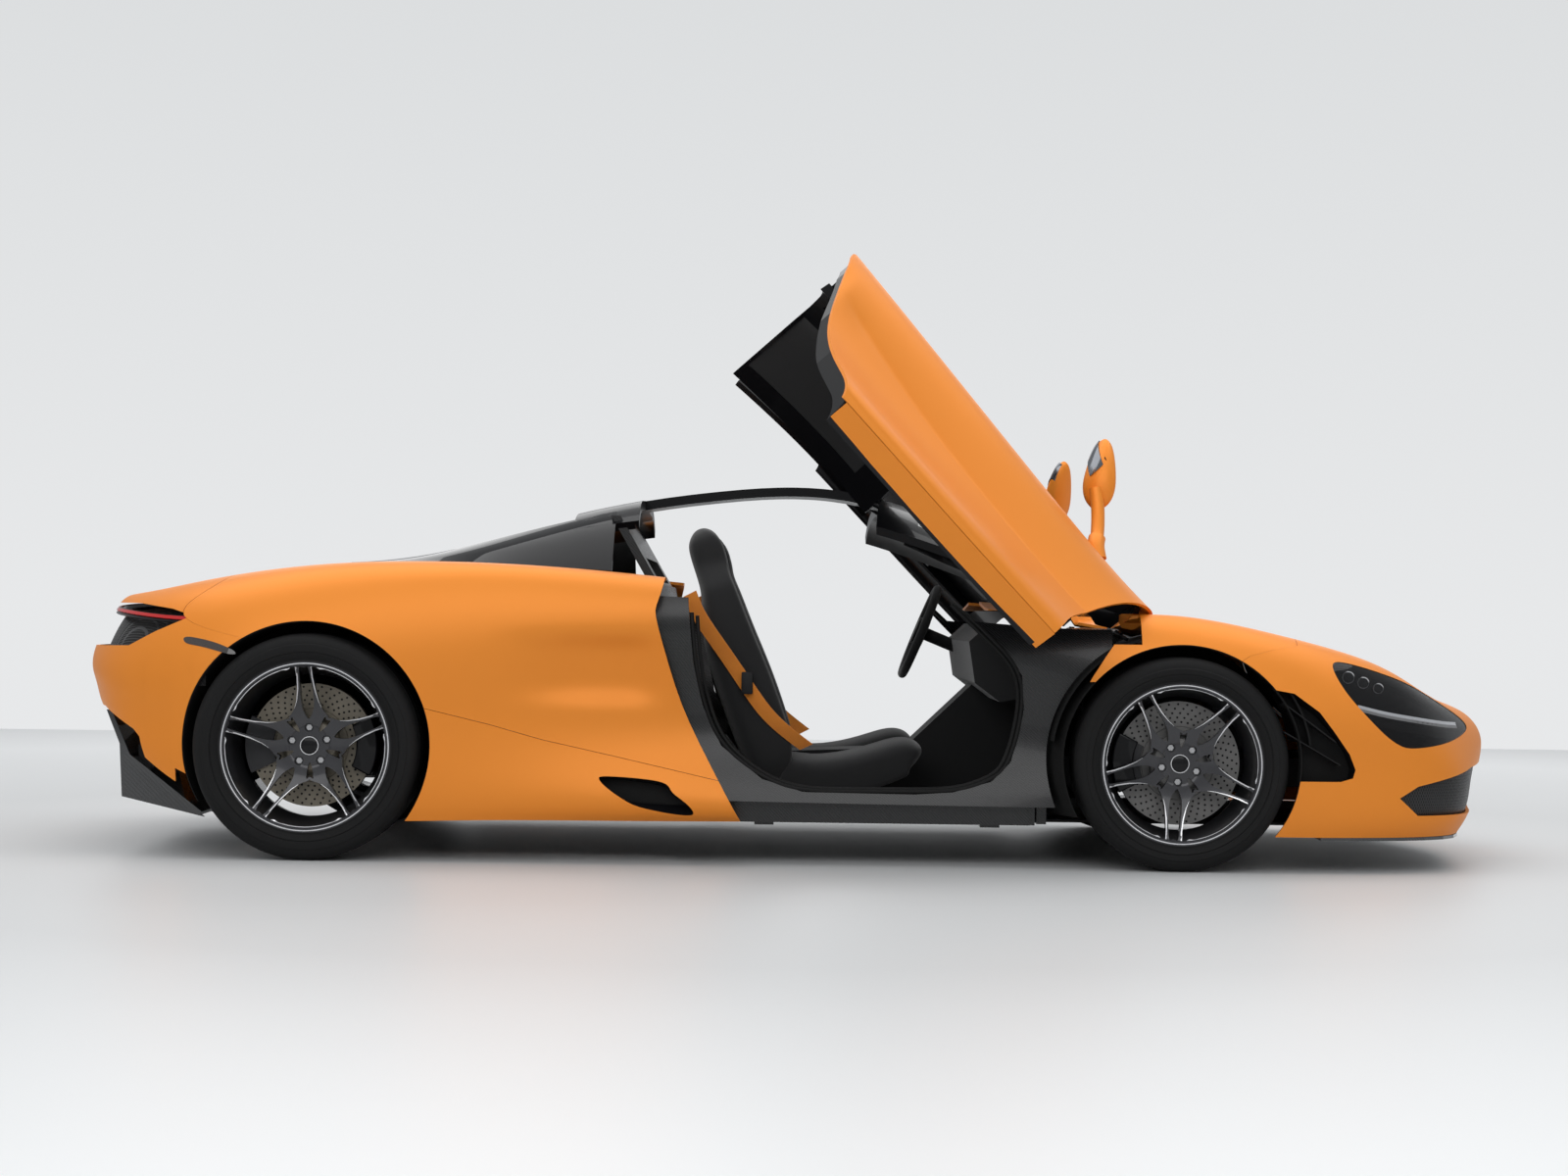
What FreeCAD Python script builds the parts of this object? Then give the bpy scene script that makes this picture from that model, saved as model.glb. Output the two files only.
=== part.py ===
"""A mid-engined two-seat supercar with two upward-swinging doors, as a FreeCAD document.

Units are millimetres. +X is forward, +Y is the car's left, +Z is up. The origin lies on the ground, in the middle
of the car's length and width. The doors stand fully open at rest.
"""
import FreeCAD, Part
import Sketcher
import math
import os

V = FreeCAD.Vector

# ----------------------------------------------------------------------------------------------------------------
# Driving dimensions: alias, value, what it is
# ----------------------------------------------------------------------------------------------------------------
DRIVING = [
    ("front_axle_x", 1172, "front axle, forward of the origin"),
    ("wheelbase", 2670, "front axle to rear axle"),
    ("front_track", 1674, "between the middles of the front tyres"),
    ("rear_track", 1629, "between the middles of the rear tyres"),
    ("front_tyre_radius", 327, "front tyre, outside"),
    ("front_tyre_width", 245, "front tyre"),
    ("front_rim_radius", 241, "front bead seat"),
    ("rear_tyre_radius", 345.5, "rear tyre, outside"),
    ("rear_tyre_width", 305, "rear tyre"),
    ("rear_rim_radius", 254, "rear bead seat"),
    ("arch_clearance", 34, "wheel arch lip above the tyre"),
    ("skin", 12, "outer panel wall"),
    ("seam", 0.8, "gap between two fixed panels"),
    ("shut_gap", 6, "gap round a moving panel"),
    ("door_depth", 78, "door, outside to inside"),
    ("frame_wall", 26, "tub wall round a door"),
    ("tub_floor_z", 128, "underside of the tub"),
    ("tub_floor_wall", 22, "tub floor thickness"),
    ("glass_wall", 5, "side and roof glass"),
    ("spoke_count", 5, "double spokes of a wheel"),
    ("bolt_circle", 112, "wheel bolt circle diameter"),
    ("bolt_hole_radius", 8, "wheel bolt hole"),
    ("hub_bore_radius", 33, "wheel centre bore"),
    ("disc_radius", 190, "brake disc, outside"),
    ("disc_wall", 32, "brake disc thickness"),
    ("stub_radius", 30, "hub stub axle"),
    ("running_clearance", 0.3, "radial gap of a running fit"),
    ("steering_wheel_radius", 175, "steering wheel, outside"),
    ("door_swing", 70, "door, shut to fully open, degrees"),
]

doc = FreeCAD.newDocument("supercar")
sheet = doc.addObject("Spreadsheet::Sheet", "dimensions")
for row, (alias, value, note) in enumerate(DRIVING, start=1):
    sheet.set(f"A{row}", alias)
    sheet.set(f"B{row}", str(value))
    sheet.set(f"C{row}", note)
    sheet.setAlias(f"B{row}", alias)
doc.recompute()


def size(alias):
    """A driving dimension, read from the sheet."""
    return float(getattr(sheet, alias))


class Dim:
    """A length that knows both its value and the sheet expression that gives it."""

    def __init__(self, value, text):
        self.value = value
        self.text = text

    def __float__(self):
        return float(self.value)

    def joined(self, other, sign, value):
        text = other.text if isinstance(other, Dim) else repr(float(other))
        return Dim(value, f"({self.text} {sign} {text})")

    def __add__(self, other):
        return self.joined(other, "+", self.value + float(other))

    def __sub__(self, other):
        return self.joined(other, "-", self.value - float(other))

    def __mul__(self, other):
        return self.joined(other, "*", self.value * float(other))

    def __truediv__(self, other):
        return self.joined(other, "/", self.value / float(other))

    def __neg__(self):
        return self * -1.0


def dim(alias):
    """A driving dimension that expressions can be built from."""
    return Dim(size(alias), f"{sheet.Name}.{alias}")


def bind(item, **properties):
    """Set properties of a document object to lengths: plain numbers or Dims, which stay bound to the sheet."""
    for name, length in properties.items():
        path = name.replace("_", ".")
        if isinstance(length, Dim):
            item.setExpression(path, length.text)
        elif "." in path:
            item.setExpression(path, repr(float(length)))
        else:
            setattr(item, name, float(length))
    return item


FRONT_X = size("front_axle_x")
REAR_X = FRONT_X - size("wheelbase")
GAP = size("shut_gap")
SEAM = size("seam")
SKIN = size("skin")

# ----------------------------------------------------------------------------------------------------------------
# The body surface: each row is a station from the nose round the left side to the tail. Each pair or triple is
# a point of one lengthwise line: (x, half width, z). Between them the surface is a smooth spline both ways.
# ----------------------------------------------------------------------------------------------------------------
BODY_LINES = ("hem", "rocker", "waist", "flank", "crown", "gutter", "deck", "spine")
BODY = [
    ("nose", (2180, 0, 118), (2236, 0, 190), (2262, 0, 290), (2272, 0, 390),
     (2240, 0, 458), (2196, 0, 488), (2150, 0, 510), (2100, 0, 530)),
    ("nose_side", (2120, 430, 116), (2166, 445, 190), (2186, 450, 290), (2194, 440, 392),
     (2155, 420, 468), (2092, 370, 510), (2070, 190, 528), (2060, 0, 541)),
    ("corner", (2030, 760, 112), (2050, 800, 190), (2040, 812, 300), (2000, 790, 430),
     (1965, 690, 545), (1940, 470, 565), (1940, 240, 572), (1940, 0, 580)),
    ("overhang", (1780, 900, 110), (1780, 930, 190), (1780, 925, 330), (1780, 905, 490),
     (1780, 755, 640), (1780, 530, 618), (1780, 260, 622), (1780, 0, 630)),
    ("arch_nose", (1480, 935, 110), (1480, 953, 200), (1480, 962, 380), (1480, 952, 560),
     (1480, 830, 722), (1480, 590, 682), (1480, 290, 686), (1480, 0, 697)),
    ("front_axle", (1172, 940, 115), (1172, 958, 210), (1172, 966, 400), (1172, 962, 610),
     (1172, 852, 776), (1172, 640, 735), (1172, 300, 740), (1172, 0, 752)),
    ("door_nose", (860, 925, 128), (860, 950, 205), (860, 915, 400), (860, 925, 620),
     (860, 862, 776), (860, 700, 772), (860, 330, 792), (860, 0, 805)),
    ("door_fore", (400, 918, 133), (400, 945, 208), (400, 878, 430), (400, 918, 665),
     (400, 872, 800), (400, 735, 806), (400, 360, 826), (400, 0, 840)),
    ("door_aft", (-50, 920, 135), (-50, 948, 212), (-50, 872, 440), (-50, 922, 700),
     (-50, 884, 832), (-50, 745, 842), (-50, 370, 866), (-50, 0, 880)),
    ("shoulder", (-500, 925, 132), (-500, 955, 218), (-500, 905, 440), (-500, 945, 700),
     (-500, 892, 866), (-500, 740, 886), (-500, 360, 908), (-500, 0, 920)),
    ("haunch", (-1000, 935, 128), (-1000, 950, 222), (-1000, 942, 440), (-1000, 958, 680),
     (-1000, 890, 888), (-1000, 710, 914), (-1000, 340, 928), (-1000, 0, 936)),
    ("rear_axle", (-1498, 930, 125), (-1498, 948, 230), (-1498, 960, 430), (-1498, 962, 665),
     (-1498, 862, 872), (-1498, 650, 902), (-1498, 310, 908), (-1498, 0, 912)),
    ("tail_side", (-1850, 905, 205), (-1850, 925, 290), (-1850, 936, 430), (-1850, 935, 600),
     (-1850, 830, 806), (-1850, 600, 856), (-1850, 285, 866), (-1850, 0, 870)),
    ("tail_corner", (-2080, 800, 365), (-2110, 795, 420), (-2130, 785, 500), (-2135, 765, 610),
     (-2085, 665, 782), (-2030, 480, 818), (-2010, 240, 828), (-2000, 0, 832)),
    ("tail_half", (-2200, 440, 440), (-2232, 440, 480), (-2250, 440, 545), (-2258, 430, 630),
     (-2185, 400, 782), (-2130, 330, 800), (-2100, 165, 808), (-2085, 0, 812)),
    ("tail", (-2225, 0, 450), (-2255, 0, 490), (-2268, 0, 550), (-2272, 0, 630),
     (-2205, 0, 786), (-2175, 0, 794), (-2150, 0, 800), (-2125, 0, 804)),
]

# The cabin surface above the belt, by stations from the windscreen's foot to the engine deck.
CABIN_LINES = ("belt", "side", "rail", "roof", "ridge")
CABIN = [
    ("cowl", (930, 688, 772), (960, 655, 782), (1010, 560, 782), (1075, 330, 782), (1100, 0, 784)),
    ("screen", (660, 738, 786), (670, 690, 862), (690, 572, 925), (725, 320, 948), (740, 0, 956)),
    ("header", (330, 775, 806), (335, 712, 938), (350, 540, 1066), (375, 290, 1110), (390, 0, 1122)),
    ("roof_fore", (30, 785, 830), (30, 706, 976), (40, 505, 1146), (50, 262, 1184), (55, 0, 1194)),
    ("roof_mid", (-270, 772, 856), (-270, 690, 984), (-270, 490, 1136), (-270, 255, 1169), (-270, 0, 1178)),
    ("roof_aft", (-570, 742, 884), (-570, 664, 976), (-570, 490, 1094), (-570, 250, 1124), (-570, 0, 1132)),
    ("screen_aft", (-870, 706, 902), (-870, 640, 956), (-870, 500, 1024), (-870, 250, 1050), (-870, 0, 1056)),
    ("deck_fore", (-1170, 664, 912), (-1170, 610, 928), (-1170, 500, 948), (-1170, 250, 962), (-1170, 0, 966)),
    ("deck_end", (-1420, 625, 905), (-1420, 585, 914), (-1420, 490, 916), (-1420, 250, 918), (-1420, 0, 922)),
]


def natural_spline(values):
    """The natural cubic spline through values at 0, 1, 2...: a function of its parameter."""
    last = len(values) - 1
    bend = [0.0] * (last + 1)
    upper = [0.0] * (last + 1)
    for i in range(1, last):
        pivot = 4.0 - upper[i - 1]
        upper[i] = 1.0 / pivot
        bend[i] = (6.0 * (values[i + 1] - 2 * values[i] + values[i - 1]) - bend[i - 1]) / pivot
    for i in range(last - 1, 0, -1):
        bend[i] -= upper[i] * bend[i + 1]

    def at(t):
        i = min(max(int(math.floor(t)), 0), last - 1)
        b = t - i
        a = 1.0 - b
        return (a * values[i] + b * values[i + 1]
                + ((a ** 3 - a) * bend[i] + (b ** 3 - b) * bend[i + 1]) / 6.0)
    return at


def mirrored(point):
    return (point[0], -point[1], point[2])


class Surface:
    """A smooth half surface through a table of stations. u counts stations and v counts lines, from 0."""

    def __init__(self, rows, wrap_front, wrap_rear):
        stations = [list(row[1:]) for row in rows]
        self.ahead = 0
        if wrap_front:
            stations = [[mirrored(p) for p in stations[k]] for k in (2, 1)] + stations
            self.ahead = 2
        if wrap_rear:
            last = len(stations) - 1
            stations += [[mirrored(p) for p in stations[last - k]] for k in (1, 2)]
        lines = len(stations[0])
        self.lengthwise = [[natural_spline([s[k][axis] for s in stations]) for axis in range(3)]
                           for k in range(lines)]
        self.lines = lines
        self.cache = {}

    def section(self, u):
        """Three splines over v, for x, y and z, at station u."""
        if u not in self.cache:
            points = [tuple(f(u + self.ahead) for f in line) for line in self.lengthwise]
            points += [mirrored(points[-2]), mirrored(points[-3])]
            self.cache[u] = [natural_spline([p[axis] for p in points]) for axis in range(3)]
        return self.cache[u]

    def point(self, u, v):
        return V(*(f(v) for f in self.section(u)))

    def normal(self, u, v):
        """The unit normal that points out of the body, on its left side."""
        step = 0.01
        along = self.point(u + step, v) - self.point(u - step, v)
        up = self.point(u, v + step) - self.point(u, v - step)
        n = along.cross(up)
        n.normalize()
        return n

    def u_at(self, x, v, low, high):
        """The station where line v passes x, between two stations."""
        for _ in range(40):
            middle = (low + high) / 2
            if self.point(middle, v).x > x:
                low = middle
            else:
                high = middle
        return (low + high) / 2


body = Surface(BODY, wrap_front=True, wrap_rear=True)
cabin = Surface(CABIN, wrap_front=False, wrap_rear=False)


# ----------------------------------------------------------------------------------------------------------------
# Shapes from the surfaces and from outlines
# ----------------------------------------------------------------------------------------------------------------
def spread(low, high, count):
    return [low + (high - low) * i / (count - 1) for i in range(count)]


def grid(surface, us, vs, depth):
    """Points of the surface, at a depth below the outside."""
    return [[surface.point(u, v) - surface.normal(u, v) * depth for v in vs] for u in us]


def inset_grid(surface, us, vs, inset):
    """Points of the surface moved straight in towards the middle of the car."""
    return [[surface.point(u, v) - V(0, inset, 0) for v in vs] for u in us]


def over_the_middle(rows):
    """Rows that end on the centre plane, carried on to the right side."""
    return [row[:-1] + [V(row[-1].x, 0, row[-1].z)] + [V(p.x, -p.y, p.z) for p in row[-2::-1]] for row in rows]


def round_the_end(rows):
    """Rows of which the first lies on the centre plane, with their right-hand twins before them."""
    middle = [V(p.x, 0, p.z) for p in rows[0]]
    return [[V(p.x, -p.y, p.z) for p in row] for row in rows[:0:-1]] + [middle] + rows[1:]


def wall_between(outer_grid, inner_grid):
    """The closed solid between two grids of points, with a smooth face through each."""
    faces, sides = [], []
    for points in (outer_grid, inner_grid):
        face = Part.BSplineSurface()
        face.interpolate(points)
        u_low, u_high, v_low, v_high = face.bounds()
        faces.append(face.toShape())
        sides.append((face.uIso(u_low), face.uIso(u_high), face.vIso(v_low), face.vIso(v_high)))
    faces += [Part.makeRuledSurface(a.toShape(), b.toShape()) for a, b in zip(*sides)]
    shell = Part.makeShell(faces)
    shell.sewShape()
    solid = Part.makeSolid(shell)
    if solid.Volume < 0:
        solid.reverse()
    return solid


def panel(surface, us, vs, depth, wall, carry=None):
    """A curved wall between two depths below the surface, over a range of stations (us) and of lines (vs).

    carry takes the left side's rows and returns those of both sides: over_the_middle or round_the_end.
    """
    grids = [grid(surface, us, vs, d) for d in (depth, depth + wall)]
    if carry:
        grids = [carry(rows) for rows in grids]
    return wall_between(*grids)


def inset_panel(surface, us, vs, inset, wall):
    """A wall that follows the surface at a distance measured straight across the car."""
    return wall_between(inset_grid(surface, us, vs, inset), inset_grid(surface, us, vs, inset + wall))


def sunk_panel(surface, us, vs, drop, wall):
    """A wall that follows the surface at a distance measured straight down."""
    tops = [[surface.point(u, v) for v in vs] for u in us]
    return wall_between(*([[p - V(0, 0, z) for p in row] for row in tops] for z in (drop, drop + wall)))


def outline_wire(points, y):
    """A closed outline in a plane across the car: straight sides between (x, z) points."""
    corners = [V(x, y, z) for x, z in points]
    return Part.makePolygon(corners + corners[:1])


def side_prism(points, y_low, y_high):
    """A prism across the car with an (x, z) outline."""
    face = Part.Face(outline_wire(points, y_low))
    return face.extrude(V(0, y_high - y_low, 0))


def smooth_prism(points, y_low, y_high):
    """A prism across the car with a closed smooth (x, z) outline."""
    curve = Part.BSplineCurve()
    curve.interpolate(Points=[V(x, y_low, z) for x, z in points], PeriodicFlag=True)
    face = Part.Face(Part.Wire(curve.toShape()))
    return face.extrude(V(0, y_high - y_low, 0))


def plan_prism(points, z_low, z_high):
    """An upright prism with an (x, y) outline."""
    corners = [V(x, y, z_low) for x, y in points]
    face = Part.Face(Part.makePolygon(corners + corners[:1]))
    return face.extrude(V(0, 0, z_high - z_low))


def box(x_low, x_high, y_low, y_high, z_low, z_high):
    return Part.makeBox(x_high - x_low, y_high - y_low, z_high - z_low, V(x_low, y_low, z_low))


def across(x, z, radius, y_low, y_high):
    """A cylinder across the car."""
    return Part.makeCylinder(radius, y_high - y_low, V(x, y_low, z), V(0, 1, 0))


def bar(start, end, radius):
    start, end = V(*start), V(*end)
    return Part.makeCylinder(radius, (end - start).Length, start, end - start)


def mirror(shape):
    return shape.mirror(V(0, 0, 0), V(0, 1, 0))


def largest(shape):
    """The largest solid that a cut leaves."""
    return max(shape.Solids, key=lambda solid: solid.Volume)


def both(shape):
    """A left piece and its right twin, as two solids."""
    return Part.makeCompound([shape, mirror(shape)])


def fused(first, *others):
    return first.multiFuse(list(others)).removeSplitter()


def shifted(points, dx):
    return [(x + dx, z) for x, z in points]


# Side outlines (x, z) of the shut lines, from the bottom up
DOOR_REAR = [(-118, 40), (-167, 135), (-295, 368), (-372, 545), (-425, 724), (-432, 790), (-412, 858),
             (-398, 960), (-390, 1060), (-384, 1240)]
DOOR_FRONT = [(742, 40), (745, 135), (765, 280), (815, 430), (896, 593), (999, 744), (1040, 790)]
SKIRT_SEAM = [(-1200, 484), (-1141, 469), (-938, 421), (-779, 377), (-565, 331), (-238, 259), (-100, 228)]
BUMPER_SEAM = [(1300, 560), (1340, 637), (1377, 660), (1450, 679), (1533, 694), (1560, 900)]
TAIL_SEAM = [(-1600, 640), (-1652, 666), (-1889, 741), (-1766, 865), (-1730, 1000)]
DOOR_OPENING = [(-353, 1097), (-77, 1112), (119, 1084), (217, 1032), (366, 930), (534, 762), (650, 650),
                (690, 590), (699, 480), (659, 322), (599, 262), (480, 228), (362, 220), (21, 223), (-107, 261),
                (-235, 360), (-296, 487), (-324, 616), (-340, 785), (-352, 950)]
EYE = [(1640, 634), (1693, 641), (1808, 610), (1920, 568), (2030, 512), (2126, 450), (2083, 416), (1997, 396),
       (1892, 384), (1838, 394), (1786, 431), (1715, 504), (1664, 570)]
CORNER_VENT = [(1440, 560), (1509, 548), (1587, 492), (1633, 432), (1681, 365), (1700, 318), (1692, 292),
               (1654, 281), (1440, 281)]
SKIRT_INLET = [(-603, 262), (-560, 268), (-421, 255), (-381, 226), (-340, 193), (-315, 165), (-324, 153),
               (-380, 157), (-467, 174), (-524, 197), (-580, 235)]
# Plan outline (x, half width) of the bonnet, from the nose back
BONNET_EDGE = [(2052, 0), (2040, 150), (1990, 300), (1880, 420), (1700, 500), (1480, 560), (1250, 590),
               (1140, 597), (1108, 565)]

SCUTTLE_X = 1000.0         # the wings' inner edges end here, and the scuttle is open up to the bonnet

# Where the door turns: the axis runs through its lower and its upper pivot
DOOR_LOWER_PIVOT = V(950, 731, 743)
DOOR_UPPER_PIVOT = V(220, 161, 1155)
DOOR_AXIS = DOOR_UPPER_PIVOT - DOOR_LOWER_PIVOT
DOOR_AXIS.normalize()


def opened(shape):
    """A left door piece turned from shut to fully open."""
    turned = shape.copy()
    turned.rotate(DOOR_LOWER_PIVOT, DOOR_AXIS, -size("door_swing"))
    return turned


parts = {}


def add(label, shape):
    """A sub-part whose shape is made with Part's own functions."""
    feature = doc.addObject("Part::Feature", label)
    feature.Label = label
    feature.Shape = shape
    parts[label] = feature
    return feature


# ----------------------------------------------------------------------------------------------------------------
# Sketched bodies: wheels, discs, tyres and hubs turn about their own Y axis and are placed at the axle ends
# ----------------------------------------------------------------------------------------------------------------
def origin_plane(part_body, role):
    return next(o for o in part_body.Origin.OriginFeatures if o.Role == role)


def sketch_on(part_body, role, name):
    sketch = part_body.newObject("Sketcher::SketchObject", name)
    sketch.AttachmentSupport = [(origin_plane(part_body, role), "")]
    sketch.MapMode = "FlatFace"
    return sketch


def outline_sketch(part_body, role, name, corners):
    """A closed straight-sided outline whose corners are bound to the sheet: pairs of numbers or Dims."""
    sketch = sketch_on(part_body, role, name)
    points = [V(float(a), float(b), 0) for a, b in corners]
    count = len(points)
    for i in range(count):
        sketch.addGeometry(Part.LineSegment(points[i], points[(i + 1) % count]), False)
    for i in range(count):
        sketch.addConstraint(Sketcher.Constraint("Coincident", i, 2, (i + 1) % count, 1))
    for i, corner in enumerate(corners):
        for kind, length in zip(("DistanceX", "DistanceY"), corner):
            index = sketch.addConstraint(Sketcher.Constraint(kind, -1, 1, i, 1, float(length)))
            if isinstance(length, Dim):
                sketch.setExpression(f"Constraints[{index}]", length.text)
    return sketch


def circle_sketch(part_body, role, name, circles):
    """Circles as (x, y, radius), bound to the sheet where they are Dims."""
    sketch = sketch_on(part_body, role, name)
    for i, (x, y, radius) in enumerate(circles):
        sketch.addGeometry(Part.Circle(V(float(x), float(y), 0), V(0, 0, 1), float(radius)), False)
        for kind, length in (("DistanceX", x), ("DistanceY", y)):
            index = sketch.addConstraint(Sketcher.Constraint(kind, -1, 1, i, 3, float(length)))
            if isinstance(length, Dim):
                sketch.setExpression(f"Constraints[{index}]", length.text)
        index = sketch.addConstraint(Sketcher.Constraint("Radius", i, float(radius)))
        if isinstance(radius, Dim):
            sketch.setExpression(f"Constraints[{index}]", radius.text)
    return sketch


def new_body(label):
    part_body = doc.addObject("PartDesign::Body", label)
    part_body.Label = label
    parts[label] = part_body
    return part_body


def turned(part_body, name, corners, kind="PartDesign::Revolution"):
    """Material (or a groove) turned about the body's Y axis from an outline of (radius, y) corners."""
    sketch = outline_sketch(part_body, "XY_Plane", name + "_outline", corners)
    feature = part_body.newObject(kind, name)
    feature.Profile = sketch
    feature.ReferenceAxis = (sketch, ["V_Axis"])
    feature.Angle = 360.0
    part_body.Tip = feature
    return feature


def pocket_through(part_body, sketch, name, depth):
    """A cut both ways across the body from a sketch on its XZ plane."""
    pocket = part_body.newObject("PartDesign::Pocket", name)
    pocket.Profile = sketch
    pocket.Midplane = True
    bind(pocket, Length=depth)
    part_body.Tip = pocket
    return pocket


def repeated(part_body, feature, name, count):
    """The feature repeated round the body's Y axis."""
    pattern = part_body.newObject("PartDesign::PolarPattern", name)
    pattern.Originals = [feature]
    pattern.Axis = (origin_plane(part_body, "Y_Axis"), [""])
    pattern.Angle = 360.0
    pattern.setExpression("Occurrences", count)
    part_body.Tip = pattern
    return pattern


class Corner:
    """One wheel station: which axle, which side, and the sizes that belong to it."""

    def __init__(self, axle, side):
        self.axle = axle
        self.side = side
        self.name = f"{axle}_{side}"
        self.sign = 1.0 if side == "left" else -1.0
        self.radius = dim(f"{axle}_tyre_radius")
        self.width = dim(f"{axle}_tyre_width")
        self.rim = dim(f"{axle}_rim_radius")
        self.x = dim("front_axle_x") if axle == "front" else dim("front_axle_x") - dim("wheelbase")
        self.y = dim(f"{axle}_track") / 2.0 * self.sign
        self.slot_angle = -30.0 if axle == "front" else -2.0

    def place(self, item):
        """Stand the item's Y axis on the axle, at this wheel's middle. The right side is turned half round."""
        half_turn = 0.0 if self.side == "left" else 180.0
        item.Placement = FreeCAD.Placement(
            V(float(self.x), float(self.y), float(self.radius)), FreeCAD.Rotation(V(0, 0, 1), half_turn))
        item.setExpression("Placement.Base.x", self.x.text)
        item.setExpression("Placement.Base.y", self.y.text)
        item.setExpression("Placement.Base.z", self.radius.text)


CORNERS = [Corner(axle, side) for axle in ("front", "rear") for side in ("left", "right")]
BEAD_CLEARANCE = 0.3
FLANGE = 22.4              # from the tyre's side to where its bead lies beside the wheel's flange
OUTBOARD_FACE = 66.0       # spoke face, outboard of the wheel's middle
BARREL_WALL = 7.0
HAT_FACE = 28.0            # where the disc's hat meets the wheel's pad


def make_tyre(corner):
    """A tyre: tread, rounded shoulders, sidewalls and beads."""
    item = new_body(f"tyre_{corner.name}")
    half = corner.width / 2.0
    bead = corner.rim + BEAD_CLEARANCE
    turned(item, f"tyre_section_{corner.name}", [
        (bead, half - FLANGE), (bead + 15, half - FLANGE), (bead + 19, half - 15), (bead + 42, half),
        (corner.radius - 26, half - 1), (corner.radius - 9, half - 10), (corner.radius, half - 30),
        (corner.radius, -half + 30), (corner.radius - 9, -half + 10), (corner.radius - 26, -half + 1),
        (bead + 42, -half), (bead + 19, -half + 15), (bead + 15, -half + FLANGE), (bead, -half + FLANGE),
        (bead + 9, -half + 34), (corner.radius - 14, -half + 40), (corner.radius - 14, half - 40),
        (bead + 9, half - 34)])
    corner.place(item)


def make_rim(corner):
    """A wheel: barrel with flanges, dished face with double spokes, hub pad, bolt holes and centre bore."""
    item = new_body(f"rim_{corner.name}")
    half = corner.width / 2.0
    seat = corner.rim
    face = OUTBOARD_FACE
    bore = dim("hub_bore_radius")
    turned(item, f"barrel_{corner.name}", [
        (seat, half - 14), (seat + 14, half - 16), (seat + 14, half - 22), (seat, half - 22),
        (seat, -half + 22), (seat + 14, -half + 22), (seat + 14, -half + 16), (seat, -half + 14),
        (seat - BARREL_WALL, -half + 14), (seat - BARREL_WALL, half - 50), (seat - BARREL_WALL, half - 14)])
    turned(item, f"face_{corner.name}", [
        (seat - BARREL_WALL + 3, half - 16), (150, face + 2), (80, face - 14), (62, face - 16), (bore, face - 16),
        (bore, HAT_FACE), (78, HAT_FACE), (90, face - 40), (150, face - 24), (seat - BARREL_WALL + 3, half - 44)])
    window(item, corner, "window", 36, [(98, -14), (98, 14), (210, 62), (float(seat) - 14, 70),
                                        (float(seat) - 14, -70), (210, -62)])
    window(item, corner, "slot", 0, [(128, 0.5), (210, 14), (float(seat) - 14, 20), (float(seat) - 14, -20),
                                     (210, -14), (128, -0.5)])
    bolts = circle_sketch(item, "XZ_Plane", f"bolt_circle_{corner.name}",
                          [(dim("bolt_circle") / 2.0, 0, dim("bolt_hole_radius"))])
    holes = pocket_through(item, bolts, f"bolt_hole_{corner.name}", corner.width * 2.0)
    repeated(item, holes, f"bolt_holes_{corner.name}", f"{sheet.Name}.spoke_count")
    corner.place(item)


def window(item, corner, name, offset_deg, corners):
    """An opening between spokes, cut at an angle from the top of the wheel and repeated round it."""
    angle = math.radians(90 + corner.slot_angle + offset_deg)
    c, sn = math.cos(angle), math.sin(angle)
    placed = [(r * c - w * sn, r * sn + w * c) for r, w in corners]
    sketch = outline_sketch(item, "XZ_Plane", f"{name}_outline_{corner.name}", placed)
    cut = pocket_through(item, sketch, f"{name}_{corner.name}", corner.width * 2.0)
    repeated(item, cut, f"{name}s_{corner.name}", f"{sheet.Name}.spoke_count")


def make_disc(corner):
    """A brake disc with its hat, which stands on the wheel's pad and turns on the stub axle."""
    item = new_body(f"disc_{corner.name}")
    bore = dim("stub_radius") + dim("running_clearance")
    wall = dim("disc_wall")
    outer = dim("disc_radius")
    turned(item, f"disc_section_{corner.name}", [
        (bore, HAT_FACE), (76, HAT_FACE), (88, HAT_FACE - 12), (88, -4), (outer, -4), (outer, -wall - 4),
        (78, -wall - 4), (78, HAT_FACE - 14), (bore, HAT_FACE - 14)])
    bolts = circle_sketch(item, "XZ_Plane", f"hat_bolt_circle_{corner.name}",
                          [(dim("bolt_circle") / 2.0, 0, dim("bolt_hole_radius"))])
    holes = pocket_through(item, bolts, f"hat_hole_{corner.name}", corner.width * 2.0)
    repeated(item, holes, f"hat_holes_{corner.name}", f"{sheet.Name}.spoke_count")
    corner.place(item)


KINGPIN_INSET = 74.0       # kingpin axis, inboard of the wheel's middle
EYE_HEIGHT = 24.0          # ball joint eye of a wishbone
EYE_RADIUS = 22.0
PIN_RADIUS = 10.0
PIN_CLEARANCE = 0.05
LOWER_EYE_Z = 200.0
UPPER_EYE_Z = 470.0


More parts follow.
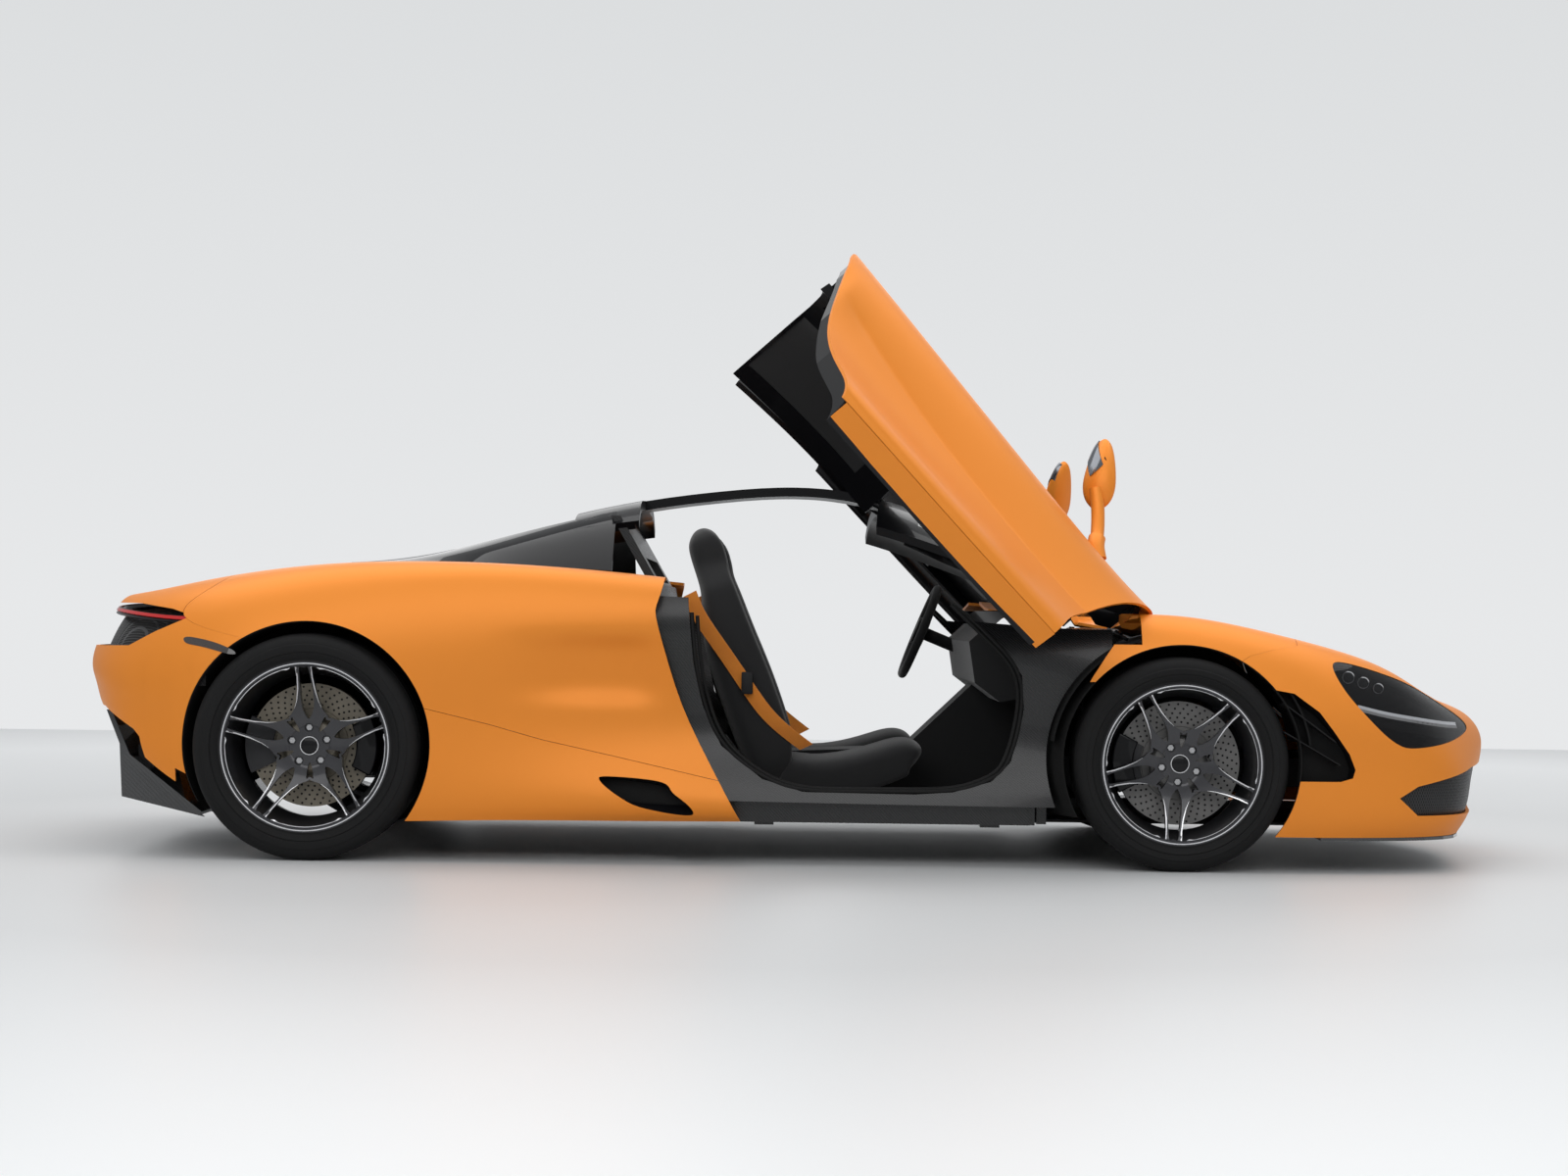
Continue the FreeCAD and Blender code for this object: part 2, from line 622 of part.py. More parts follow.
def upright(corner):
    """Hub stub, carrier, mast with its two kingpins, and the brake calliper of one corner (left side)."""
    x, y, z = float(corner.x), abs(float(corner.y)), float(corner.radius)
    king_y = y - KINGPIN_INSET
    stub = across(x, z, size("stub_radius"), y - 96, y + 46)
    carrier = across(x, z, 66, y - 100, y - 48)
    reach = EYE_HEIGHT / 2 + 4
    mast = box(x - 26, x + 26, king_y - 18, king_y + 18, LOWER_EYE_Z + reach, UPPER_EYE_Z - reach)
    pin = Part.makeCylinder(PIN_RADIUS, UPPER_EYE_Z - LOWER_EYE_Z + 2 * reach,
                            V(x, king_y, LOWER_EYE_Z - reach), V(0, 0, 1))
    ring = across(x, z, size("disc_radius") + 14, y - 56, y + 10).cut(across(x, z, 118, y - 57, y + 11))
    groove = across(x, z, size("disc_radius") + 3, y - size("disc_wall") - 9, y + 1)
    wedge = side_prism([(x, z), (x - 400, z + 190), (x - 400, z - 190)], y - 60, y + 20)
    calliper = ring.common(wedge).cut(groove)
    lug = box(x - 150, x, y - 88, y - 48, z - 30, z + 30)
    return fused(stub, carrier, mast, pin, lug, calliper)


def wishbone(corner, z_out, z_in, root_y, spread_x):
    """An A-arm: two legs from the chassis to an eye round the kingpin (left side)."""
    x, king_y = float(corner.x), abs(float(corner.y)) - KINGPIN_INSET
    eye = Part.makeCylinder(EYE_RADIUS, EYE_HEIGHT, V(x, king_y, z_out - EYE_HEIGHT / 2), V(0, 0, 1))
    legs = [bar((x + dx * 0.08, king_y - 12, z_out), (x + dx, root_y - 12, z_in), 11)
            for dx in (spread_x, -spread_x)]
    whole = fused(eye, *legs).cut(box(x - 400, x + 400, 0, root_y, 0, 900))
    return whole.cut(Part.makeCylinder(PIN_RADIUS + PIN_CLEARANCE, 2 * EYE_HEIGHT,
                                     V(x, king_y, z_out - EYE_HEIGHT), V(0, 0, 1)))


# ----------------------------------------------------------------------------------------------------------------
# Outer panels, left side first
# ----------------------------------------------------------------------------------------------------------------
FRONT_R = size("front_tyre_radius")
REAR_R = size("rear_tyre_radius")
FRONT_ARCH = across(FRONT_X, FRONT_R + 4, FRONT_R + size("arch_clearance"), 560, 1100)
REAR_ARCH = across(REAR_X, REAR_R + 4, REAR_R + size("arch_clearance"), 560, 1100)
FAR = 3000.0


def behind(outline, gap=0.0):
    """Everything behind a line of (x, z) points that runs upward, shifted back by a gap."""
    points = shifted(outline, -gap)
    return side_prism(points + [(-FAR, points[-1][1]), (-FAR, points[0][1])], 1, 1100)


def ahead(outline, gap=0.0):
    """Everything ahead of a line of (x, z) points that runs upward, shifted forward by a gap."""
    points = shifted(outline, gap)
    return side_prism(points + [(FAR, points[-1][1]), (FAR, points[0][1])], 1, 1100)


def bonnet_plan(grow=0.0):
    """The bonnet's outline from above, widened by a gap, as a prism on the left side."""
    edge = [(x + grow * (1 if x > 1900 else 0), y + (grow if y else 0)) for x, y in BONNET_EDGE]
    rear = edge[-1][0] - grow
    points = edge[:-1] + [(rear, edge[-1][1]), (rear, 0)]
    return plan_prism(points, 300, 1300)


def eye_prism(grow=0.0):
    """The headlight's opening across the body side, grown about its middle."""
    cx = sum(p[0] for p in EYE) / len(EYE)
    cz = sum(p[1] for p in EYE) / len(EYE)
    reach = max(math.hypot(x - cx, z - cz) for x, z in EYE)
    scale = 1.0 + grow / reach
    return side_prism([(cx + (x - cx) * scale, cz + (z - cz) * scale) for x, z in EYE], 400, 1100)


def on_both(prism):
    """A left-side cutter and its right twin."""
    return prism.fuse(mirror(prism))


NOSE_US = spread(0, 4.3, 15)
NOSE_VS = spread(0, 6.0, 16)


def make_front_bumper():
    shell = panel(body, NOSE_US, NOSE_VS, 0, SKIN, round_the_end)
    for cutter in (behind(BUMPER_SEAM), FRONT_ARCH, bonnet_plan(GAP), eye_prism(), side_prism(CORNER_VENT, 600, 1100),
                   side_prism([(2400, 178), (2400, 330), (2120, 318), (1900, 268), (1840, 232), (1900, 178)],
                              110, 1100)):
        shell = shell.cut(cutter).cut(mirror(cutter))
    add("front_bumper", shell)


def make_front_wings():
    shell = panel(body, spread(3.0, 6.6, 14), spread(1.6, 6.2, 16), 0, SKIN)
    shell = shell.cut(ahead(BUMPER_SEAM, -SEAM)).cut(FRONT_ARCH).cut(bonnet_plan(GAP)).cut(eye_prism())
    shell = shell.cut(behind(DOOR_FRONT, -GAP)).cut(box(SCUTTLE_X, BONNET_EDGE[-1][0] + 25, 0, 603, 690, 800))
    shell = shell.cut(plan_prism([(500, 690), (900, 690), (1048, 800), (1048, 1100), (500, 1100)], 690, 1300))
    add("front_wings", both(largest(shell)))


BONNET_AXIS = (1118, 713)  # x and z of the bonnet's hinge line


def bonnet_hinges():
    """The left bonnet hinge: an eye that hangs from the lid, and the cowl's pin inside it."""
    x, z = BONNET_AXIS
    eye = across(x, z, 9, 430, 450).fuse(box(x - 2, x + 30, 430, 450, z + 4, z + 18))
    eye = eye.cut(across(x, z, 5 + HINGE_CLEARANCE, 420, 460))
    pin = across(x, z, 5, 428, 480).fuse(across(x, z, 9, 452, 480)).fuse(box(985, x, 454, 478, z - 22, z - 8))
    return eye, pin


def make_bonnet():
    shell = panel(body, spread(0.5, 5.7, 14), spread(4.4, 7.0, 8), 0, SKIN, over_the_middle)
    lid = shell.common(on_both(bonnet_plan()))
    eye = bonnet_hinges()[0]
    add("bonnet", lid.fuse(eye).fuse(mirror(eye)))


def make_rear_quarters():
    shell = panel(body, spread(8.4, 12.6, 18), spread(0.0, 5.0, 16), 0, SKIN)
    shell = shell.cut(ahead(DOOR_REAR, -GAP)).cut(REAR_ARCH)
    skirt = side_prism([(-1300, -50)] + SKIRT_SEAM + [(-100, -50)], 600, 1100)
    shell = shell.cut(skirt).cut(behind(TAIL_SEAM))
    shell = shell.cut(box(-1900, -1500, 1, 1100, -50, 560))
    add("rear_quarters", both(largest(shell)))


def make_side_skirts():
    shell = panel(body, spread(8.1, 11.0, 10), spread(0.0, 2.2, 8), 0, SKIN)
    skirt = side_prism([(-1300, -50)] + shifted(SKIRT_SEAM, -SEAM) + [(-100, -50)], 600, 1100)
    lowered = skirt.copy()
    lowered.translate(V(0, 0, -SEAM))
    shell = shell.common(lowered).cut(ahead(DOOR_REAR, -GAP)).cut(REAR_ARCH)
    shell = shell.cut(smooth_prism(SKIRT_INLET, 600, 1100))
    add("side_skirts", both(shell))


def make_rear_bumper():
    shell = panel(body, spread(15.0, 10.9, 15), spread(0.6, 4.9975, 14), 0, SKIN, round_the_end)
    lower = side_prism([(-1600, 560), (-1600, -50), (-1870, 205), (-2040, 390), (-2160, 455), (-2400, 470),
                        (-2400, -60), (-1500, -60), (-1500, 560)], -1, 1100)
    mesh = side_prism([(-2300, 560), (-2300, 735), (-2150, 735), (-2080, 700), (-2020, 640), (-2080, 560)], -1, 1100)
    for cutter in (ahead(TAIL_SEAM, -SEAM), REAR_ARCH, lower, mesh):
        shell = shell.cut(cutter).cut(mirror(cutter))
    add("rear_bumper", shell)


COVER_V = 5.0              # the engine cover lies between these lines, the quarters outboard of them


def make_engine_cover():
    add("engine_cover", panel(body, spread(9.7, 14.4, 14), spread(COVER_V + 0.0075, 7.0, 8), 0, SKIN, over_the_middle))


def make_windscreen():
    pane = panel(cabin, spread(0.0, 1.93, 8), spread(1.90, 4.0, 8), 3, 6, over_the_middle)
    add("windscreen", pane.common(on_both(screen_prism(0.003))))


def make_quarter_glass():
    side = panel(cabin, spread(5.503, 8.0, 8), spread(0.15, 2.0, 6), 0, 6)
    for us, vs in ((spread(9.7, 14.4, 14), spread(COVER_V - 0.02, 7.0, 8)), (spread(8.4, 12.6, 18), spread(4.0, 5.05, 6))):
        deck = grid(body, us, vs, -0.8)
        side = side.cut(wall_between(deck, [[V(p.x, p.y, 500) for p in row] for row in deck]))
    add("quarter_glass", both(largest(side)))


# ----------------------------------------------------------------------------------------------------------------
# Structure
# ----------------------------------------------------------------------------------------------------------------
HINGE_PIN_RADIUS = 6.0
HINGE_EYE_RADIUS = 12.0
HINGE_CLEARANCE = 0.05
LOWER_HINGE = -0.08        # places along the door axis, as shares of the way from its lower to its upper pivot
UPPER_HINGE = 0.945


def on_axis(share, offset=0.0):
    """A point of the door's axis."""
    return DOOR_LOWER_PIVOT + (DOOR_UPPER_PIVOT - DOOR_LOWER_PIVOT) * share + DOOR_AXIS * offset


def axis_cylinder(share, low, high, radius):
    """A cylinder round the door's axis, from one distance along it to another."""
    return Part.makeCylinder(radius, high - low, on_axis(share, low), DOOR_AXIS)


def arm(start, end, width, thickness):
    """A flat bar between two points."""
    along = end - start
    bar_box = Part.makeBox(along.Length, width, thickness, V(0, -width / 2, -thickness / 2))
    bar_box.Placement = FreeCAD.Placement(start, FreeCAD.Rotation(V(1, 0, 0), along))
    return bar_box


def door_hinge_fixed():
    """The body's halves of the left door's hinges: a knuckle and pin at each pivot."""
    lower = axis_cylinder(LOWER_HINGE, 14, 34, HINGE_EYE_RADIUS)
    lower = lower.fuse(axis_cylinder(LOWER_HINGE, -14, 34, HINGE_PIN_RADIUS))
    lower = lower.fuse(arm(V(985, 590, 731), on_axis(LOWER_HINGE, 24), 18, 16))
    lower = lower.cut(axis_cylinder(LOWER_HINGE, -14, 12, HINGE_EYE_RADIUS + 2).cut(
        axis_cylinder(LOWER_HINGE, -14, 14, HINGE_PIN_RADIUS)))
    upper = axis_cylinder(UPPER_HINGE, -34, -12, HINGE_EYE_RADIUS)
    upper = upper.fuse(axis_cylinder(UPPER_HINGE, -34, 12, HINGE_PIN_RADIUS))
    return lower, upper


JACK_PAD = 60.0
JACK_PAD_DEPTH = 12.0
JACK_X = (600.0, -100.0)
JACK_Y = 745.0


def jack_pads():
    """Square pads under the left sill, where a jack lifts the car."""
    floor_z = size("tub_floor_z")
    reach = JACK_PAD / 2
    return [box(x - reach, x + reach, JACK_Y - reach, JACK_Y + reach, floor_z - JACK_PAD_DEPTH, floor_z + 5)
            for x in JACK_X]


def tub_prisms():
    """The flat-walled members of the tub's left half: floor, sill, sill ends, bulkheads and cowl."""
    floor_z = size("tub_floor_z")
    return [
        box(-430, 775, 0, 700, floor_z, floor_z + size("tub_floor_wall")),
        side_prism([(-280, floor_z), (720, floor_z), (700, 222), (-130, 222)], 660, 832),
        side_prism([(-330, floor_z), (735, floor_z), (735, 330), (672, 330), (600, 200), (-150, 200), (-250, 330),
                    (-330, 330)], 660, 822),
        box(745, 775, 0, 770, floor_z, 690),
        side_prism([(745, 640), (775, 640), (SCUTTLE_X + 15, 712), (SCUTTLE_X + 15, 736), (745, 715)], 0, 610),
        side_prism([(SCUTTLE_X, 690), (1095, 684), (1095, 696), (SCUTTLE_X, 720)], 0, 550),
        side_prism([(-430, floor_z), (-400, floor_z), (-400, 620), (-440, 860), (-470, 860), (-430, 620)], 0, 745),
        side_prism([(-440, 850), (-470, 850), (-600, 1075), (-570, 1075)], 0, 560)]


def make_tub():
    """The carbon tub: floor, sills, bulkheads, cowl and the rings round the door openings."""
    inset = size("door_depth") + GAP
    ring = inset_panel(body, spread(5.7, 9.1, 10), spread(0.85, 3.62, 9), inset, size("frame_wall"))
    ring = ring.cut(side_prism(DOOR_OPENING, 1, 1100)).cut(across(FRONT_X, FRONT_R + 4, FRONT_R + 78, 560, 1100))
    window = side_prism([(-430, 870), (-430, 880), (-580, 1030), (-620, 1030), (-620, 870)], -1, 400)
    half = fused(*tub_prisms(), *jack_pads()).cut(window)
    whole = half.fuse(mirror(half)).removeSplitter()
    for piece in (ring, door_hinge_fixed()[0], bonnet_hinges()[1]):
        whole = whole.fuse(piece).fuse(mirror(piece))
    add("tub", whole)


def plan_of(surface, outline, z_low, z_high):
    """An upright prism whose corners stand under the surface's points at (u, v)."""
    points = [surface.point(u, v) for u, v in outline]
    return plan_prism([(p.x, p.y) for p in points], z_low, z_high)


ROOF_SEAM_V = 3.56         # the doors' roof sections end here, beside the spine
ROOF_FRONT_U = 2.32        # behind the windscreen header
ROOF_REAR_U = 4.80         # ahead of the rear hoop
SCREEN_V = 1.95            # the windscreen's side edge
ROOF_WALL = 30.0


def screen_prism(inset):
    """The left half of the windscreen's opening, drawn in at its side edge by an inset in v."""
    side = SCREEN_V + inset
    return plan_of(cabin, [(-0.2, side), (0.3, side), (1.0, side), (1.5, side), (1.92, side + 0.05),
                           (1.94, 3), (1.94, 4), (-0.2, 4)], 400, 1400)


def make_roof():
    """Screen pillars, header, spine and rear hoop in one piece, open for the windscreen and the doors."""
    shell = panel(cabin, spread(0.05, 5.5, 16), spread(1.60, 4.0, 10), 0, ROOF_WALL, over_the_middle)
    legs = panel(cabin, spread(4.85, 5.5, 3), spread(0.0, 1.60, 5), 0, ROOF_WALL)
    screen = screen_prism(0)
    door = plan_of(cabin, [(ROOF_FRONT_U, 1.2), (ROOF_FRONT_U, 2), (ROOF_FRONT_U, 3), (ROOF_FRONT_U, ROOF_SEAM_V),
                           (3.2, ROOF_SEAM_V), (4.0, ROOF_SEAM_V), (ROOF_REAR_U, ROOF_SEAM_V), (ROOF_REAR_U, 3),
                           (ROOF_REAR_U, 2), (ROOF_REAR_U, 1.2)], 900, 1400)
    for cutter in [screen, door] + tub_prisms():
        shell = shell.cut(cutter).cut(mirror(cutter))
        legs = legs.cut(cutter)
    eye_room = axis_cylinder(UPPER_HINGE, -11.5, 30, HINGE_EYE_RADIUS + 3)
    swing_room = box(262, 292, 175, 228, 1138, 1165)
    for room in (eye_room, swing_room):
        shell = shell.cut(room).cut(mirror(room))
    shell = shell.fuse(legs).fuse(mirror(legs))
    hinge = door_hinge_fixed()[1]
    add("roof", shell.fuse(hinge).fuse(mirror(hinge)))


TOW_EYE_RADIUS = 8.0


def make_floor_pan():
    item = doc.addObject("Part::Box", "floor_pan")
    floor_z = dim("tub_floor_z")
    bind(item, Length=3150, Width=1120, Height=8, Placement_Base_x=-1180, Placement_Base_y=-560,
         Placement_Base_z=floor_z - 8)
    parts["floor_pan"] = item


DIFFUSER_TOP = [(-1870, 122), (-2100, 300), (-2160, 440)]
DIFFUSER_FAR = [(-2500, 440), (-2500, -60), (-1870, -60)]


def make_subframes():
    """Front and rear rails with crash beams and suspension towers. The front beam takes a screw-in towing eye."""
    halves = []
    front = [box(775, 1960, 270, 330, 230, 320), box(1960, 2010, 0, 620, 220, 330),
             box(FRONT_X - 170, FRONT_X + 170, 320, 400, 232, 300), box(FRONT_X - 170, FRONT_X + 170, 340, 400, 290, 540)]
    rear = [box(-2040, -430, 330, 390, 230, 320), box(-2090, -2040, 0, 560, 220, 330),
            box(REAR_X - 80, REAR_X + 80, 380, 450, 232, 300), box(REAR_X - 80, REAR_X + 80, 390, 450, 290, 540)]
    for pieces in (front, rear):
        half = fused(*pieces)
        halves.append(fused(half, mirror(half)).cut(side_prism(DIFFUSER_TOP + DIFFUSER_FAR, -700, 700)))
    towing_eye = Part.makeCylinder(TOW_EYE_RADIUS, 200, V(1900, -350, 275), V(1, 0, 0))
    add("subframes", Part.makeCompound([halves[0].cut(towing_eye), halves[1]]))


def make_engine():
    block = doc.addObject("Part::Box", "engine_block")
    bind(block, Length=560, Width=600, Height=520, Placement_Base_x=-1140, Placement_Base_y=-300,
         Placement_Base_z=200)
    gearbox = doc.addObject("Part::Box", "gearbox")
    bind(gearbox, Length=620, Width=360, Height=330, Placement_Base_x=-1760, Placement_Base_y=-180,
         Placement_Base_z=210)
    whole = doc.addObject("Part::MultiFuse", "engine")
    bearers = doc.addObject("Part::Box", "engine_bearers")
    bind(bearers, Length=120, Width=660, Height=60, Placement_Base_x=-960, Placement_Base_y=-330,
         Placement_Base_z=240)
    whole.Shapes = [block, gearbox, bearers]
    parts["engine"] = whole


STEERING_CENTRE = V(430, 370, 715)
STEERING_AXIS = V(-0.927184, 0, 0.374607)
COLUMN_RADIUS = 22.0


def make_seats():
    floor = size("tub_floor_z") + size("tub_floor_wall")
    shell = side_prism([(-190, floor), (300, floor), (395, 262), (400, 300), (330, 318), (120, 250), (-60, 240),
                        (-140, 300), (-285, 800), (-300, 1020), (-370, 1000), (-385, 700), (-280, 200)], 170, 590)
    hollow = side_prism([(-128, 300), (-60, 262), (120, 272), (330, 345), (400, 420), (0, 900), (-275, 800)], 230, 530)
    add("seats", both(shell.cut(hollow)))


def make_dashboard():
    floor = size("tub_floor_z") + size("tub_floor_wall")
    board = side_prism([(560, 560), (640, 500), (745, 520), (745, 712), (700, 740), (600, 745), (540, 690)], 0, 600)
    console = side_prism([(-380, floor), (740, floor), (740, 540), (600, 560), (360, 330), (-380, 300)], 0, 110)
    half = fused(board, console)
    bore = Part.makeCylinder(COLUMN_RADIUS + HINGE_CLEARANCE, 90, STEERING_CENTRE - STEERING_AXIS * 95,
                             STEERING_AXIS * -1)
    add("dashboard", fused(half, mirror(half)).cut(bore))


def make_suspension_arms():
    arms = []
    for corner, root_y, spread_x in ((CORNERS[0], 400, 150), (CORNERS[2], 450, 60)):
        for z_out, z_in in ((LOWER_EYE_Z, 262), (UPPER_EYE_Z, 500)):
            arms.append(wishbone(corner, z_out, z_in, root_y, spread_x))
    add("suspension_arms", Part.makeCompound(arms + [mirror(arm) for arm in arms]))


def make_rear_uprights():
    add("rear_uprights", both(upright(CORNERS[2])))


def make_knuckles():
    solid = upright(CORNERS[0])
    add("knuckle_left", solid)
    add("knuckle_right", mirror(solid))


def beyond_the_skin(us, vs, depth):
    """All that lies outboard of the body surface sunk by a depth, over a range of stations and lines."""
    rows = grid(body, us, vs, depth)
    return wall_between(rows, [[V(p.x, 1100, p.z) for p in row] for row in rows])


def above_the_skin(us, vs, depth):
    """All that lies above the body surface sunk by a depth, over a range of stations and lines."""
    rows = grid(body, us, vs, depth)
    return wall_between(rows, [[V(p.x, p.y, 1300) for p in row] for row in rows])


DOOR_NOSE_US = spread(5.45, 6.6, 8)    # where the shut door passes outboard of the front liner


def make_arch_liners():
    liners = []
    for x, radius, z, inner, us in ((FRONT_X, FRONT_R + 70, FRONT_R + 4, 560, spread(3.6, 6.4, 10)),
                                    (REAR_X, REAR_R + 56, REAR_R + 4, 600, spread(9.6, 12.4, 10))):
        shell = across(x, z, radius, inner, 1000).cut(across(x, z, radius - 6, inner - 10, 1010))
        shell = shell.common(box(x - 500, x + 500, 500, 1000, z + 60, 1200))
        shell = shell.cut(beyond_the_skin(us, spread(0.4, 3.9, 9), SKIN + 0.9))
        shell = shell.cut(above_the_skin(us, spread(3.6, 6.4, 12), SKIN + 0.9))
        shell = shell.cut(box(BONNET_EDGE[-1][0] - 25, BONNET_EDGE[-1][0] + 20, 500, 585, 700, 780))
        shell = shell.cut(beyond_the_skin(DOOR_NOSE_US, spread(0.4, 3.9, 9), SKIN + GAP))
        liners.append(largest(shell.cut(above_the_skin(DOOR_NOSE_US, spread(3.6, 5.2, 8), SKIN + GAP))))
    add("arch_liners", Part.makeCompound(liners + [mirror(s) for s in liners]))


def make_exhaust():
    box_low, box_high = -2030, -1760.3
    muffler = box(box_low, box_high, -330, 330, 470, 640)
    pipes = [Part.makeCylinder(52, 190, V(-2030, s * 130, 640), V(-1, 0, 0)).cut(
        Part.makeCylinder(47, 200, V(-2035, s * 130, 640), V(-1, 0, 0))) for s in (1, -1)]
    add("exhaust", fused(muffler, *pipes))


def make_headlights():
    shell = panel(body, NOSE_US, NOSE_VS, SKIN + SEAM, 30)
    add("headlights", both(largest(shell.common(eye_prism(5)).cut(bonnet_plan(GAP)))))


def make_tail_lights():
    shell = panel(body, spread(12.8, 15.0, 8), spread(3.45, 3.85, 4), 13, 14)
    add("tail_lights", both(shell))


def make_front_splitter():
    edge = [body.point(u, 0) for u in spread(0.15, 3.3, 12)]
    outline = [(edge[0].x, -1)] + [(p.x, p.y) for p in edge] + [(1600, edge[-1].y), (1600, -1)]
    half = plan_prism(outline, 100, 109.7)
    add("front_splitter", fused(half, mirror(half)))


def make_diffuser():
    plate = side_prism([(-1880, 110)] + DIFFUSER_TOP + [(-2175, 440), (-2115, 290)], 0, 640)
    fins = [side_prism([(-1885, 98), (-2150, 160), (-2165, 430), (-2110, 300)], y - 4, y + 4) for y in (140, 330, 520)]
    half = fused(plate, *fins)
    add("diffuser", fused(half, mirror(half)))


def make_steering_wheel():
    radius = size("steering_wheel_radius")
    rim = Part.makeTorus(radius - 15, 15)
    hub = Part.makeCylinder(48, 40, V(0, 0, -22))
    spokes = [box(-radius + 18, -30, -14, 14, -8, 8), box(30, radius - 18, -14, 14, -8, 8),
              box(-14, 14, -radius + 18, -30, -8, 8)]
    column = Part.makeCylinder(COLUMN_RADIUS, 150, V(0, 0, -165))
    wheel = fused(rim, hub, *spokes, column)
    turn = FreeCAD.Rotation(V(0, 1, 0), -68)
    wheel.Placement = FreeCAD.Placement(STEERING_CENTRE, turn.multiply(FreeCAD.Rotation(V(0, 0, 1), 90)))
    add("steering_wheel", wheel)


# ----------------------------------------------------------------------------------------------------------------
# Doors
# ----------------------------------------------------------------------------------------------------------------
def door_outline(inset):
    front = shifted(DOOR_FRONT, -inset)
    rear = shifted(DOOR_REAR, inset)
    return side_prism(rear + front[::-1], 1, 1100)


DOOR_TOP_V = 4.62          # the outer skin ends here, beside the window frame


def make_doors():
    depth = size("door_depth")
    nose = plan_prism([(600, 300), (905, 698), (1045, 807), (1200, 927), (1200, 300)], -50, 1300)
    skin_us, skin_vs = spread(5.5, 9.0, 14), spread(0.22, DOOR_TOP_V, 15)
    skin = panel(body, skin_us, skin_vs, 0, SKIN).common(door_outline(0))
    skin_room = panel(body, skin_us, skin_vs, -2, SKIN + 2 + 2 * SEAM)
    skin = skin.cut(FRONT_ARCH).cut(nose)
    us, vs = spread(5.8, 9.0, 14), spread(0.06, 3.7, 11)
    inner = wall_between(grid(body, us, vs, SKIN + 2 * SEAM), inset_grid(body, us, vs, depth)).common(door_outline(14))
    inner = inner.cut(across(FRONT_X, FRONT_R + 4, FRONT_R + size("arch_clearance") + 12, 560, 1100))
    pocket = inset_panel(body, spread(6.4, 8.4, 10), spread(1.0, 3.2, 8), SKIN + 24, depth).common(door_outline(90))
    inner = inner.cut(pocket)
    outside = panel(body, spread(5.3, 9.2, 14), spread(3.3, DOOR_TOP_V + 0.09, 9), -40, 41 + SKIN + SEAM)
    belt = sunk_panel(body, spread(5.7, 9.0, 12), spread(3.92, 4.9, 5), SKIN + 2, 14).common(door_outline(14))
    belt = belt.cut(outside)
    side = panel(cabin, spread(0.75, 4.8, 12), spread(-0.25, 1.45, 8), 2, 32).cut(outside)
    side = side.cut(panel(cabin, spread(1.3, 4.3, 12), spread(0.25, 1.35, 6), -20, 90))
    roof = panel(cabin, spread(ROOF_FRONT_U + 0.06, 4.77, 8), spread(1.41, ROOF_SEAM_V - 0.05, 8), 2, 28)
    roof = roof.cut(panel(cabin, spread(2.75, 4.35, 8), spread(1.95, 3.25, 6), -20, 90))
    rear = behind(DOOR_REAR, -3)
    frame = inner.fuse(belt).fuse(side.cut(rear)).cut(skin_room).fuse(roof.cut(rear))
    frame = frame.fuse(arm(on_axis(LOWER_HINGE), V(962, 862, 750), 22, 14))
    frame = frame.fuse(axis_cylinder(LOWER_HINGE, -12, 12, HINGE_EYE_RADIUS))
    frame = frame.cut(axis_cylinder(LOWER_HINGE, -20, 20, HINGE_PIN_RADIUS + HINGE_CLEARANCE))
    frame = frame.cut(axis_cylinder(UPPER_HINGE, -60, -11, HINGE_EYE_RADIUS + 2))
    frame = frame.fuse(axis_cylinder(UPPER_HINGE, -10, 12, HINGE_EYE_RADIUS))
    frame = frame.cut(axis_cylinder(UPPER_HINGE, -20, 20, HINGE_PIN_RADIUS + HINGE_CLEARANCE))
    frame = frame.cut(across(FRONT_X, FRONT_R + 4, FRONT_R + 78, 560, 1100))
    frame = largest(frame.cut(nose.common(box(880, 1300, 300, 1000, 725, 1300))))
    glass = [panel(cabin, spread(1.3015, 4.2985, 12), spread(0.2515, 1.3485, 6), 4, 5),
             panel(cabin, spread(2.7515, 4.3485, 8), spread(1.9515, 3.2485, 6), 4, 5)]
    wing_room = box(995, 1150, 690, 810, 690, 784)
    pillar_room = box(750, 795, 585, 622, 858, 892)
    for side_name in ("left", "right"):
        for label, shape in (("door_panel", skin), ("door_frame", frame), ("door_glass", Part.makeCompound(glass))):
            shape = opened(shape).cut(wing_room).cut(pillar_room)
            shape = largest(shape) if label == "door_frame" else shape
            add(f"{label}_{side_name}", shape if side_name == "left" else mirror(shape))


# ----------------------------------------------------------------------------------------------------------------
# Build, check and write
# ----------------------------------------------------------------------------------------------------------------
for build in (make_tub, make_floor_pan, make_subframes, make_engine, make_front_bumper, make_front_wings,
              make_bonnet, make_rear_quarters, make_side_skirts, make_rear_bumper, make_engine_cover,
              make_windscreen, make_roof, make_quarter_glass, make_seats, make_dashboard, make_suspension_arms,
              make_rear_uprights, make_knuckles, make_arch_liners, make_exhaust, make_headlights,
              make_tail_lights, make_front_splitter, make_diffuser, make_steering_wheel, make_doors):
    build()
for corner in CORNERS:
    make_tyre(corner)
    make_rim(corner)
    make_disc(corner)
doc.recompute()

faults = [item.Label for item in doc.Objects if "Invalid" in item.State or "Error" in item.State]
for label, item in parts.items():
    if item.Shape.isNull() or not item.Shape.isValid():
        faults.append(label)
if faults:
    raise RuntimeError("these could not be built: " + ", ".join(faults))
os.makedirs("parts", exist_ok=True)
for label, item in parts.items():
    item.Shape.exportStep(f"parts/{label}.step")
print(f"{len(parts)} sub-parts written")
